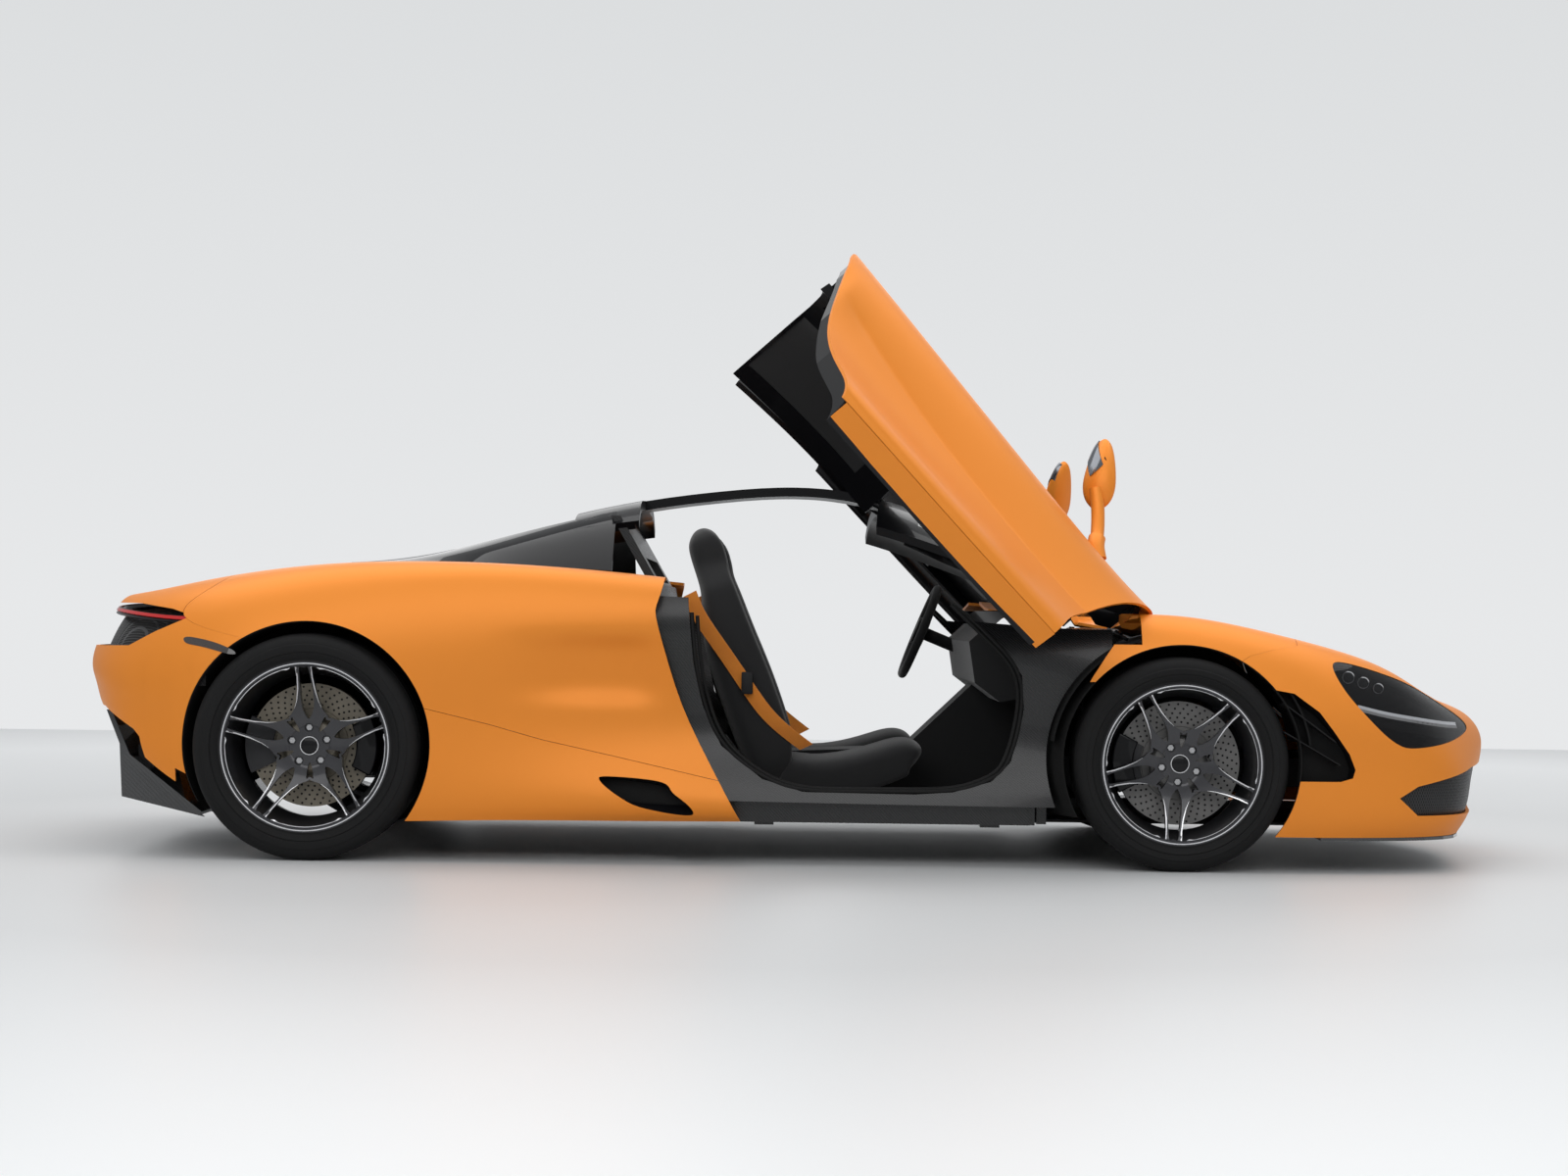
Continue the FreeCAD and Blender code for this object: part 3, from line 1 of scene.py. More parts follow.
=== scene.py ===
"""A mid-engined two-seat supercar with its doors standing open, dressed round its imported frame.

All sizes are metres. +X is forward, +Y is the car's left and +Z is up, with the ground at z = 0.
Left-hand pieces are made shut and straight, then mirrored, and door pieces are swung open last.
"""
import sys
import logging
import math
from dataclasses import dataclass, field
from enum import Enum
from typing import Callable, Iterable, Sequence, Union

import bpy
import numpy as np
from mathutils import Matrix, Vector


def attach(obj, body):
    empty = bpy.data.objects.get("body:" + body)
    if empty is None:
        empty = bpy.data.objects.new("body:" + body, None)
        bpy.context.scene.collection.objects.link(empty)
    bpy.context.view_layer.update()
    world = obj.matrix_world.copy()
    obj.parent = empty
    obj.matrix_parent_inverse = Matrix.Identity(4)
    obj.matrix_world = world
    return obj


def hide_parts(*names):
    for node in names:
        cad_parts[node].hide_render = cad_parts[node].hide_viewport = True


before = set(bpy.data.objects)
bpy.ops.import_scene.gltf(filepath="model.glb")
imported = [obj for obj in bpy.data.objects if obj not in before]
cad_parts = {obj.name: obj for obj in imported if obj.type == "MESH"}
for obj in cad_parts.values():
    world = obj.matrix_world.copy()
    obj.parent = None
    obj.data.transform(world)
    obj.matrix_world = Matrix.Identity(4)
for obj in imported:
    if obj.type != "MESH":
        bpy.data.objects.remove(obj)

log = logging.getLogger("supercar")
Point = tuple[float, float, float]
Flat = tuple[float, float]
Number = Union[int, float]
Operand = Union["Link", Number]
Colour = tuple[float, float, float, float]


# ---------------------------------------------------------------------------------------------------------
# Shaders
# ---------------------------------------------------------------------------------------------------------
class Link:
    """A value in a material: operators on it add Math nodes."""

    def __init__(self, graph: "Graph", socket: bpy.types.NodeSocket) -> None:
        """Wraps one output socket of a graph."""
        self.graph = graph
        self.socket = socket

    def math(self, operation: str, *values: Operand, swap: bool = False,
             clamp: bool = False) -> "Link":
        """Adds one Math node.

        Args:
            operation: The node's operation.
            values: Its further operands.
            swap: Whether this value comes second.
            clamp: Whether the result is held between 0 and 1.

        Returns:
            The node's value.
        """
        operands = [self, *values]
        if swap:
            operands[0], operands[1] = operands[1], operands[0]
        node = self.graph.node("ShaderNodeMath", {"operation": operation, "use_clamp": clamp},
                               dict(enumerate(operands)))
        return Link(self.graph, node.outputs[0])

    def __add__(self, other: Operand) -> "Link":
        """Sum."""
        return self.math("ADD", other)

    def __sub__(self, other: Operand) -> "Link":
        """Difference."""
        return self.math("SUBTRACT", other)

    def __rsub__(self, other: Number) -> "Link":
        """Difference, number first."""
        return self.math("SUBTRACT", other, swap=True)

    def __mul__(self, other: Operand) -> "Link":
        """Product."""
        return self.math("MULTIPLY", other)

    def __truediv__(self, other: Operand) -> "Link":
        """Quotient."""
        return self.math("DIVIDE", other)

    def __lt__(self, other: Operand) -> "Link":
        """1 where this is less."""
        return self.math("LESS_THAN", other)

    def __gt__(self, other: Operand) -> "Link":
        """1 where this is more."""
        return self.math("GREATER_THAN", other)

    def sine(self) -> "Link":
        """Sine."""
        return self.math("SINE")

    def fraction(self) -> "Link":
        """Fractional part."""
        return self.math("FRACT")

    def floor(self) -> "Link":
        """Whole part."""
        return self.math("FLOOR")

    def size(self) -> "Link":
        """Absolute value."""
        return self.math("ABSOLUTE")

    def held(self) -> "Link":
        """The value between 0 and 1."""
        return self.math("ADD", 0.0, clamp=True)


class Graph:
    """A material and its nodes."""

    def __init__(self, name: str) -> None:
        """Starts an empty material.

        Args:
            name: The material's name.
        """
        self.material = bpy.data.materials.new(name)
        self.material.use_nodes = True
        self.tree = self.material.node_tree
        self.tree.nodes.clear()
        self.coordinates = self.node("ShaderNodeTexCoord", {}, {})

    def node(self, kind: str, settings: dict, inputs: dict) -> bpy.types.Node:
        """Adds a node, sets its options and then its sockets.

        Args:
            kind: The node's type.
            settings: Its properties; a ramp's stops go under "stops" as (place, colour) pairs.
            inputs: Values or links by socket name or number.

        Returns:
            The node.
        """
        node = self.tree.nodes.new(kind)
        for key, value in settings.items():
            if key == "stops":
                ramp = node.color_ramp
                while len(ramp.elements) > len(value):
                    ramp.elements.remove(ramp.elements[-1])
                while len(ramp.elements) < len(value):
                    ramp.elements.new(1.0)
                for stop, (place, colour) in zip(ramp.elements, value):
                    stop.position = place
                    stop.color = (*colour, 1.0)
            else:
                setattr(node, key, value)
        for key, value in inputs.items():
            if isinstance(value, Link):
                self.tree.links.new(value.socket, node.inputs[key])
            elif isinstance(value, bpy.types.NodeSocket):
                self.tree.links.new(value, node.inputs[key])
            else:
                node.inputs[key].default_value = value
        return node

    def place(self) -> tuple[Link, Link, Link]:
        """The Object coordinates as three values."""
        parts = self.node("ShaderNodeSeparateXYZ", {}, {0: self.coordinates.outputs["Object"]})
        return Link(self, parts.outputs[0]), Link(self, parts.outputs[1]), Link(self, parts.outputs[2])

    def noise(self, grain: float, detail: float = 3.0, stretch: Point = (1.0, 1.0, 1.0)) -> Link:
        """Noise over the piece.

        Args:
            grain: The size of its patches in metres.
            detail: How many finer layers it has.
            stretch: How much its coordinates are scaled along each axis.

        Returns:
            A value round 0.5.
        """
        mapped = self.node("ShaderNodeMapping", {}, {0: self.coordinates.outputs["Object"], "Scale": stretch})
        noise = self.node("ShaderNodeTexNoise", {}, {"Vector": mapped.outputs[0], "Scale": 1.0 / grain,
                                                     "Detail": detail})
        return Link(self, noise.outputs[0])

    def cells(self, pitch: float) -> Link:
        """Distance to the nearest of scattered points that lie about a pitch apart."""
        cells = self.node("ShaderNodeTexVoronoi", {"feature": "F1"},
                          {"Vector": self.coordinates.outputs["Object"], "Scale": 1.0 / pitch})
        return Link(self, cells.outputs[0])

    def mixed(self, factor: Operand, first: Point, second: Point) -> bpy.types.NodeSocket:
        """Mixes two colours.

        Args:
            factor: 0 for the first and 1 for the second.
            first: One colour.
            second: The other colour.

        Returns:
            The mixed colour's socket.
        """
        node = self.node("ShaderNodeMix", {"data_type": "RGBA"},
                         {"Factor": factor, 6: (*first, 1.0), 7: (*second, 1.0)})
        return node.outputs[2]

    def bump(self, height: Link, strength: float, distance: float) -> bpy.types.NodeSocket:
        """Raises the normal by a height.

        Args:
            height: The height's value.
            strength: How much of the effect is used.
            distance: How far a height of 1 lies above 0, in metres.

        Returns:
            The normal's socket.
        """
        node = self.node("ShaderNodeBump", {},
                         {"Height": height, "Strength": strength, "Distance": distance})
        return node.outputs[0]

    def finish(self, **inputs: object) -> bpy.types.Material:
        """Adds the Principled shader and the output.

        Args:
            inputs: Its sockets, with underscores for spaces.

        Returns:
            The material.
        """
        shader = self.node("ShaderNodeBsdfPrincipled", {},
                           {key.replace("_", " "): value for key, value in inputs.items()})
        self.node("ShaderNodeOutputMaterial", {}, {"Surface": shader.outputs[0]})
        return self.material


# ---------------------------------------------------------------------------------------------------------
# Finishes
# ---------------------------------------------------------------------------------------------------------
@dataclass(frozen=True)
class Lacquer:
    """Sprayed colour under a clear coat, with the faint ripple that sprayed lacquer has."""

    name: str
    colour: Point
    shade: Point
    roughness: float = 0.30
    coat: float = 0.45
    sheen: float = 0.10

    def material(self) -> bpy.types.Material:
        """Builds the material."""
        g = Graph(self.name)
        flake = g.noise(0.0016, 2.0)
        drift = g.noise(0.45, 2.0)
        tone = flake * 0.35 + drift * 0.65
        ripple = g.noise(0.006, 1.0)
        return g.finish(Base_Color=g.mixed(tone, self.shade, self.colour),
                        Roughness=flake * 0.08 + self.roughness, Specular_IOR_Level=self.sheen,
                        Coat_Weight=self.coat, Coat_Roughness=0.03, Normal=g.bump(ripple, 0.012, 0.001))


@dataclass(frozen=True)
class Moulding:
    """Moulded plastic or rubber with a fine grain and slightly worn patches."""

    name: str
    colour: Point
    roughness: float = 0.55
    grain: float = 0.0011
    depth: float = 0.35

    def material(self) -> bpy.types.Material:
        """Builds the material."""
        g = Graph(self.name)
        grain = g.cells(self.grain)
        patches = g.noise(0.09, 4.0)
        bright = tuple(min(1.0, c * 1.55 + 0.002) for c in self.colour)
        return g.finish(Base_Color=g.mixed(patches, self.colour, bright),
                        Roughness=patches * 0.22 + (self.roughness - 0.11), Specular_IOR_Level=0.28,
                        Normal=g.bump(grain, self.depth, self.grain * 0.35))


@dataclass(frozen=True)
class Weave:
    """Lacquered carbon fibre in a two-by-two twill, with painted sheen and shade in its colour: the warp tows
    lighter and every tow's edges darker.
    """

    name: str
    dark: Point = (0.008, 0.008, 0.009)
    light: Point = (0.036, 0.037, 0.041)
    tow: float = 0.0035
    coat: float = 1.0

    def material(self) -> bpy.types.Material:
        """Builds the material."""
        g = Graph(self.name)
        x, y, z = g.place()
        a = x / self.tow
        b = (y + z) / self.tow
        phase = ((a.floor() + b.floor()) / 4.0).fraction()
        warp = phase < 0.49
        thread = warp * (b.fraction() - 0.5).size() + (1.0 - warp) * (a.fraction() - 0.5).size()
        # painted sheen and shade: warp tows painted lighter than weft, and darker towards each tow's edges
        sheen = (warp * 0.62 + 0.19) - thread * 0.35
        return g.finish(Base_Color=g.mixed(sheen.held(), self.dark, self.light),
                        Roughness=0.36 - warp * 0.1, Coat_Weight=self.coat, Coat_Roughness=0.04,
                        Normal=g.bump(thread, 0.08, 0.0004))


@dataclass(frozen=True)
class Pane:
    """Tinted glass that lets part of the light through."""

    name: str
    tint: Point = (0.012, 0.014, 0.015)
    cover: float = 0.72
    coat: float = 1.0

    def material(self) -> bpy.types.Material:
        """Builds the material."""
        g = Graph(self.name)
        dust = g.noise(0.22, 5.0)
        return g.finish(Base_Color=(*self.tint, 1.0), Roughness=dust * 0.03 + 0.01,
                        Alpha=dust * 0.05 + self.cover, Specular_IOR_Level=self.coat * 0.5,
                        Coat_Weight=self.coat, Coat_Roughness=0.02)


@dataclass(frozen=True)
class Metal:
    """Cast, machined or forged metal with fine marks along one way."""

    name: str
    colour: Point
    roughness: float = 0.3
    marks: Point = (1.0, 1.0, 1.0)
    metallic: float = 1.0
    coat: float = 0.0

    def material(self) -> bpy.types.Material:
        """Builds the material."""
        g = Graph(self.name)
        fine = g.noise(0.0009, 2.0, self.marks)
        cloud = g.noise(0.05, 4.0)
        dull = tuple(c * 0.72 for c in self.colour)
        return g.finish(Base_Color=g.mixed(cloud, dull, self.colour), Metallic=self.metallic,
                        Roughness=cloud * 0.16 + fine * 0.08 + (self.roughness - 0.1), Coat_Weight=self.coat,
                        Coat_Roughness=0.08, Normal=g.bump(fine, 0.1, 0.0003))


@dataclass(frozen=True)
class Cloth:
    """Woven webbing or brushed suede."""

    name: str
    colour: Point
    thread: float = 0.0012
    nap: float = 0.5

    def material(self) -> bpy.types.Material:
        """Builds the material."""
        g = Graph(self.name)
        x, y, z = g.place()
        rows = ((x + z) * (math.tau / self.thread)).sine() * ((y - z) * (math.tau / self.thread)).sine()
        fuzz = g.noise(0.0015, 3.0)
        wear = g.noise(0.07, 4.0)
        pale = tuple(min(1.0, c * 1.8 + 0.003) for c in self.colour)
        height = rows * (1.0 - self.nap) + fuzz * self.nap
        return g.finish(Base_Color=g.mixed(wear * 0.7 + fuzz * 0.3, self.colour, pale),
                        Roughness=wear * 0.1 + 0.84, Sheen_Weight=0.25, Sheen_Roughness=0.5,
                        Normal=g.bump(height, 0.4, 0.0006))


@dataclass(frozen=True)
class Rotor:
    """A cross-drilled carbon-ceramic brake face round one axle's line, with its drilled holes painted
    near-black as painted shade.
    """

    name: str
    x: float
    z: float
    radius: float = 0.190
    colour: Point = (0.20, 0.195, 0.19)
    holes: float = 40.0
    hole: float = 0.0034

    def material(self) -> bpy.types.Material:
        """Builds the material."""
        g = Graph(self.name)
        x, _, z = g.place()
        along_x, along_z = x - self.x, z - self.z
        across = (along_x * along_x + along_z * along_z).math("SQRT")
        turn = along_z.math("ARCTAN2", along_x) / math.tau
        inner, pitch = self.radius * 0.63, self.radius * 0.072
        ring = (across - inner) / pitch
        spoke = turn * self.holes + ring.floor() * 0.37
        aside = (spoke.fraction() - 0.5) * across * (math.tau / self.holes)
        along = (ring.fraction() - 0.5) * pitch
        hole = (aside * aside + along * along) < self.hole ** 2
        drilled = hole * ((across > inner) * (across < self.radius * 0.985))
        grind = (across * 9000.0).sine() * 0.5 + 0.5
        cloud = g.noise(0.02, 4.0)
        face = g.mixed(cloud * 0.6 + grind * 0.2, tuple(c * 0.7 for c in self.colour), self.colour)
        # painted shade: the drilled holes are only painted near-black in the face's colour, not cut
        mix = g.node("ShaderNodeMix", {"data_type": "RGBA"},
                     {"Factor": drilled, 6: face, 7: (0.006, 0.006, 0.006, 1.0)})
        return g.finish(Base_Color=mix.outputs[2], Metallic=0.25,
                        Roughness=drilled * 0.4 + cloud * 0.12 + 0.36,
                        Normal=g.bump(1.0 - drilled, 0.6, 0.001))


@dataclass(frozen=True)
class Glow:
    """A lamp's own light behind its lens."""

    name: str
    colour: Point
    strength: float

    def material(self) -> bpy.types.Material:
        """Builds the material."""
        g = Graph(self.name)
        ribs = (g.place()[0] * 900.0).sine() * 0.25 + 0.75
        dim = tuple(c * 0.5 for c in self.colour)
        return g.finish(Base_Color=g.mixed(ribs, dim, self.colour), Roughness=0.25,
                        Emission_Color=(*self.colour, 1.0), Emission_Strength=self.strength)


@dataclass(frozen=True)
class Grille:
    """Black mesh over a hollow: raised wires, with the holes between them painted near-black as the hollow's
    painted shade.
    """

    name: str
    pitch: float = 0.011

    def material(self) -> bpy.types.Material:
        """Builds the material."""
        g = Graph(self.name)
        x, y, z = g.place()
        first = (((x + y) + z * 0.6) * (math.pi / self.pitch)).sine().size()
        second = (((x + y) - z * 0.6) * (math.pi / self.pitch)).sine().size()
        wire = ((first < 0.34) + (second < 0.34)).held()
        # painted shade: the sheet is solid, and the holes between the wires are painted near-black
        return g.finish(Base_Color=g.mixed(wire, (0.002, 0.002, 0.002), (0.03, 0.03, 0.032)),
                        Roughness=0.7 - wire * 0.4, Normal=g.bump(wire, 0.8, 0.003))


class Look(Enum):
    """Every finish on the car, by what it is on."""

    PAINT = Lacquer("orange_paint", (0.93, 0.218, 0.002), (0.86, 0.190, 0.0015))
    GLOSS = Lacquer("black_lacquer", (0.006, 0.006, 0.007), (0.004, 0.004, 0.005), coat=0.3)
    TRIM = Moulding("black_trim", (0.006, 0.006, 0.0065))
    SEAL = Moulding("door_seal", (0.004, 0.004, 0.004), roughness=0.7, grain=0.0007)
    LINER = Moulding("arch_liner", (0.003, 0.003, 0.003), roughness=0.85, grain=0.002, depth=0.6)
    TREAD = Moulding("tyre_rubber", (0.003, 0.003, 0.0032), roughness=0.75, grain=0.0012)
    CARBON = Weave("carbon_weave")
    SATIN_CARBON = Weave("satin_carbon", (0.004, 0.004, 0.0045), (0.011, 0.011, 0.012), tow=0.0025,
                         coat=0.1)
    GLASS = Pane("tinted_glass")
    # tinted glass, made nearly opaque and black so that it also paints the shade of the hollow behind the
    # quarter glass
    DARK_GLASS = Pane("dark_glass", (0.004, 0.004, 0.005), 0.94, 0.25)
    LENS = Pane("lamp_lens", (0.004, 0.004, 0.005), 0.45, 0.4)
    SMOKED = Pane("smoked_lens", (0.035, 0.030, 0.028), 0.90)
    WHEEL = Metal("wheel_grey", (0.045, 0.045, 0.050), roughness=0.32, metallic=0.6, coat=0.5)
    EDGE = Metal("machined_edge", (0.90, 0.90, 0.92), roughness=0.30)
    CAST = Metal("cast_aluminium", (0.42, 0.42, 0.43), roughness=0.5)
    DARK_CAST = Metal("dark_castings", (0.045, 0.045, 0.048), roughness=0.5, metallic=0.6)
    PIPE = Metal("exhaust_metal", (0.32, 0.29, 0.26), roughness=0.3, marks=(0.05, 1.0, 1.0))
    BOLT = Metal("bolt_steel", (0.55, 0.55, 0.56), roughness=0.25)
    SUEDE = Cloth("black_suede", (0.005, 0.005, 0.0055), nap=0.95)
    BELT = Cloth("belt_webbing", (0.80, 0.20, 0.018), thread=0.0022, nap=0.15)
    LAMP = Glow("lamp_white", (0.80, 0.83, 0.88), 1.1)
    SCREEN = Glow("screen_glass", (0.010, 0.011, 0.013), 0.02)
    TAIL = Glow("lamp_red", (0.72, 0.02, 0.015), 0.35)
    MIRROR = Metal("mirror_glass", (0.22, 0.23, 0.25), roughness=0.12)
    MESH = Grille("black_mesh")
    FRONT_ROTOR = Rotor("front_rotor", 1.172, 0.327)
    REAR_ROTOR = Rotor("rear_rotor", -1.498, 0.3455, colour=(0.25, 0.22, 0.17))

    def material(self) -> bpy.types.Material:
        """The material, made the first time it is asked for."""
        found = bpy.data.materials.get(self.value.name)
        return found or self.value.material()


# ---------------------------------------------------------------------------------------------------------
# Surfaces of the car, as tables of stations and lengthwise lines: (x, half width, z)
# ---------------------------------------------------------------------------------------------------------
BODY_TABLE = [
    [(2.180, 0, .118), (2.236, 0, .190), (2.262, 0, .290), (2.272, 0, .390),
     (2.240, 0, .458), (2.196, 0, .488), (2.150, 0, .510), (2.100, 0, .530)],
    [(2.120, .430, .116), (2.166, .445, .190), (2.186, .450, .290), (2.194, .440, .392),
     (2.155, .420, .468), (2.092, .370, .510), (2.070, .190, .528), (2.060, 0, .541)],
    [(2.030, .760, .112), (2.050, .800, .190), (2.040, .812, .300), (2.000, .790, .430),
     (1.965, .690, .545), (1.940, .470, .565), (1.940, .240, .572), (1.940, 0, .580)],
    [(1.780, .900, .110), (1.780, .930, .190), (1.780, .925, .330), (1.780, .905, .490),
     (1.780, .755, .640), (1.780, .530, .618), (1.780, .260, .622), (1.780, 0, .630)],
    [(1.480, .935, .110), (1.480, .953, .200), (1.480, .962, .380), (1.480, .952, .560),
     (1.480, .830, .722), (1.480, .590, .682), (1.480, .290, .686), (1.480, 0, .697)],
    [(1.172, .940, .115), (1.172, .958, .210), (1.172, .966, .400), (1.172, .962, .610),
     (1.172, .852, .776), (1.172, .640, .735), (1.172, .300, .740), (1.172, 0, .752)],
    [(.860, .925, .128), (.860, .950, .205), (.860, .915, .400), (.860, .925, .620),
     (.860, .862, .776), (.860, .700, .772), (.860, .330, .792), (.860, 0, .805)],
    [(.400, .918, .133), (.400, .945, .208), (.400, .878, .430), (.400, .918, .665),
     (.400, .872, .800), (.400, .735, .806), (.400, .360, .826), (.400, 0, .840)],
    [(-.050, .920, .135), (-.050, .948, .212), (-.050, .872, .440), (-.050, .922, .700),
     (-.050, .884, .832), (-.050, .745, .842), (-.050, .370, .866), (-.050, 0, .880)],
    [(-.500, .925, .132), (-.500, .955, .218), (-.500, .905, .440), (-.500, .945, .700),
     (-.500, .892, .866), (-.500, .740, .886), (-.500, .360, .908), (-.500, 0, .920)],
    [(-1.000, .935, .128), (-1.000, .950, .222), (-1.000, .942, .440), (-1.000, .958, .680),
     (-1.000, .890, .888), (-1.000, .710, .914), (-1.000, .340, .928), (-1.000, 0, .936)],
    [(-1.498, .930, .125), (-1.498, .948, .230), (-1.498, .960, .430), (-1.498, .962, .665),
     (-1.498, .862, .872), (-1.498, .650, .902), (-1.498, .310, .908), (-1.498, 0, .912)],
    [(-1.850, .905, .205), (-1.850, .925, .290), (-1.850, .936, .430), (-1.850, .935, .600),
     (-1.850, .830, .806), (-1.850, .600, .856), (-1.850, .285, .866), (-1.850, 0, .870)],
    [(-2.080, .800, .365), (-2.110, .795, .420), (-2.130, .785, .500), (-2.135, .765, .610),
     (-2.085, .665, .782), (-2.030, .480, .818), (-2.010, .240, .828), (-2.000, 0, .832)],
    [(-2.200, .440, .440), (-2.232, .440, .480), (-2.250, .440, .545), (-2.258, .430, .630),
     (-2.185, .400, .782), (-2.130, .330, .800), (-2.100, .165, .808), (-2.085, 0, .812)],
    [(-2.225, 0, .450), (-2.255, 0, .490), (-2.268, 0, .550), (-2.272, 0, .630),
     (-2.205, 0, .786), (-2.175, 0, .794), (-2.150, 0, .800), (-2.125, 0, .804)],
]
CABIN_TABLE = [
    [(.930, .688, .772), (.960, .655, .782), (1.010, .560, .782), (1.075, .330, .782), (1.100, 0, .784)],
    [(.660, .738, .786), (.670, .690, .862), (.690, .572, .925), (.725, .320, .948), (.740, 0, .956)],
    [(.330, .775, .806), (.335, .712, .938), (.350, .540, 1.066), (.375, .290, 1.110), (.390, 0, 1.122)],
    [(.030, .785, .830), (.030, .706, .976), (.040, .505, 1.146), (.050, .262, 1.184), (.055, 0, 1.194)],
    [(-.270, .772, .856), (-.270, .690, .984), (-.270, .490, 1.136), (-.270, .255, 1.169), (-.270, 0, 1.178)],
    [(-.570, .742, .884), (-.570, .664, .976), (-.570, .490, 1.094), (-.570, .250, 1.124), (-.570, 0, 1.132)],
    [(-.870, .706, .902), (-.870, .640, .956), (-.870, .500, 1.024), (-.870, .250, 1.050), (-.870, 0, 1.056)],
    [(-1.170, .664, .912), (-1.170, .610, .928), (-1.170, .500, .948), (-1.170, .250, .962),
     (-1.170, 0, .966)],
    [(-1.420, .625, .905), (-1.420, .585, .914), (-1.420, .490, .916), (-1.420, .250, .918),
     (-1.420, 0, .922)],
]


class Spline:
    """Natural cubic splines through equally spaced values, for many curves at once."""

    def __init__(self, values: np.ndarray) -> None:
        """Solves the splines.

        Args:
            values: An array whose first axis runs along each curve.
        """
        count = len(values)
        matrix = np.eye(count)
        right = np.zeros_like(values)
        for i in range(1, count - 1):
            matrix[i, i - 1:i + 2] = (1, 4, 1)
            right[i] = 6 * (values[i + 1] - 2 * values[i] + values[i - 1])
        self.values = values
        self.bend = np.linalg.solve(matrix, right.reshape(count, -1)).reshape(values.shape)

    def along(self, t: np.ndarray) -> np.ndarray:
        """Values of every curve at each of some parameters: the first axis of the result follows t."""
        i = np.clip(np.floor(t).astype(int), 0, len(self.values) - 2)
        shape = (-1,) + (1,) * (self.values.ndim - 1)
        b = (t - i).reshape(shape)
        a = 1 - b
        return (a * self.values[i] + b * self.values[i + 1]
                + ((a ** 3 - a) * self.bend[i] + (b ** 3 - b) * self.bend[i + 1]) / 6)

    def each(self, t: np.ndarray) -> np.ndarray:
        """The value of curve k at parameter t[k], where the curves lie on the second axis."""
        i = np.clip(np.floor(t).astype(int), 0, len(self.values) - 2)
        k = np.arange(len(t))
        b = (t - i)[:, None]
        a = 1 - b
        return (a * self.values[i, k] + b * self.values[i + 1, k]
                + ((a ** 3 - a) * self.bend[i, k] + (b ** 3 - b) * self.bend[i + 1, k]) / 6)


class Skin:
    """A smooth half surface through a table of stations; u counts stations and v counts lines."""

    def __init__(self, table: Sequence[Sequence[Point]], wraps: bool) -> None:
        """Lays the lengthwise splines.

        Args:
            table: The stations, front to rear, as lines from the bottom to the middle.
            wraps: Whether the surface closes round the nose and tail.
        """
        rows = np.array(table, dtype=float)
        flip = np.array([1.0, -1.0, 1.0])
        self.ahead = 2 if wraps else 0
        if wraps:
            rows = np.concatenate([rows[[2, 1]] * flip, rows, rows[[-2, -3]] * flip])
        self.lines = Spline(rows)

    def points(self, u: np.ndarray, v: np.ndarray) -> np.ndarray:
        """Places on the surface."""
        sections = self.lines.along(u + self.ahead)
        flip = np.array([1.0, -1.0, 1.0])
        sections = np.concatenate([sections, (sections[:, [-2, -3]] * flip)], axis=1)
        return Spline(np.swapaxes(sections, 0, 1)).each(v)

    def normals(self, u: np.ndarray, v: np.ndarray) -> np.ndarray:
        """Unit normals that point out of the left side."""
        step = 0.01
        along = self.points(u + step, v) - self.points(u - step, v)
        up = self.points(u, v + step) - self.points(u, v - step)
        n = np.cross(along, up)
        return n / np.linalg.norm(n, axis=1)[:, None]

    def beside(self, outline: Sequence[Flat], depth: float = 0.0) -> np.ndarray:
        """Places on the left flank above or below given (x, z) points.

        Args:
            outline: The points, seen from the side.
            depth: How far below the surface the places lie.

        Returns:
            One place for each point.
        """
        target = np.array(outline, dtype=float)
        top = len(self.lines.values) - 2 * self.ahead - 1
        u, v = (grid.ravel() for grid in np.meshgrid(np.linspace(0, top, 200), np.linspace(0, 4.6, 120)))
        mesh = self.points(u, v)[:, [0, 2]]
        nearest = [int(np.argmin(((mesh - point) ** 2).sum(axis=1))) for point in target]
        u, v = u[nearest], v[nearest]
        step = 0.01
        for _ in range(5):
            here = self.points(u, v)[:, [0, 2]]
            across = (self.points(u + step, v)[:, [0, 2]] - here) / step
            upward = (self.points(u, v + step)[:, [0, 2]] - here) / step
            miss = target - here
            area = across[:, 0] * upward[:, 1] - across[:, 1] * upward[:, 0]
            u = u + np.clip((miss[:, 0] * upward[:, 1] - miss[:, 1] * upward[:, 0]) / area, -.1, .1)
            v = v + np.clip((across[:, 0] * miss[:, 1] - across[:, 1] * miss[:, 0]) / area, -.1, .1)
        return self.points(u, v) - self.normals(u, v) * depth


BODY = Skin(BODY_TABLE, wraps=True)
CABIN = Skin(CABIN_TABLE, wraps=False)


def eased(value: np.ndarray, low: float, high: float) -> np.ndarray:
    """0 up to a low value, 1 from a high one, and smooth between them."""
    share = np.clip((value - low) / (high - low), 0, 1)
    return share * share * (3 - 2 * share)


def side_relief(places: np.ndarray) -> np.ndarray:
    """How far the flanks dip: the valley line along the door and the scoop behind it."""
    x, y, z = places.T
    valley = .0115 * np.exp(-np.abs(z - (.582 - .153 * (x + .226))) / .05)
    valley *= eased(x, -.40, -.24) * (1 - eased(x, .80, .98))
    scoop = .032 * np.exp(-((z - .595) / .095) ** 4) * eased(x, -.98, -.62) * (1 - eased(x, -.52, -.36))
    return (valley + scoop) * (np.abs(y) > .5)


# ---------------------------------------------------------------------------------------------------------
# The bench: the modelling moves that every piece is made with
# ---------------------------------------------------------------------------------------------------------
class Plane(Enum):
    """Which two axes an outline is drawn on, and which way it is drawn out."""

    SIDE = (0, 2, 1)
    PLAN = (0, 1, 2)
    FRONT = (1, 2, 0)


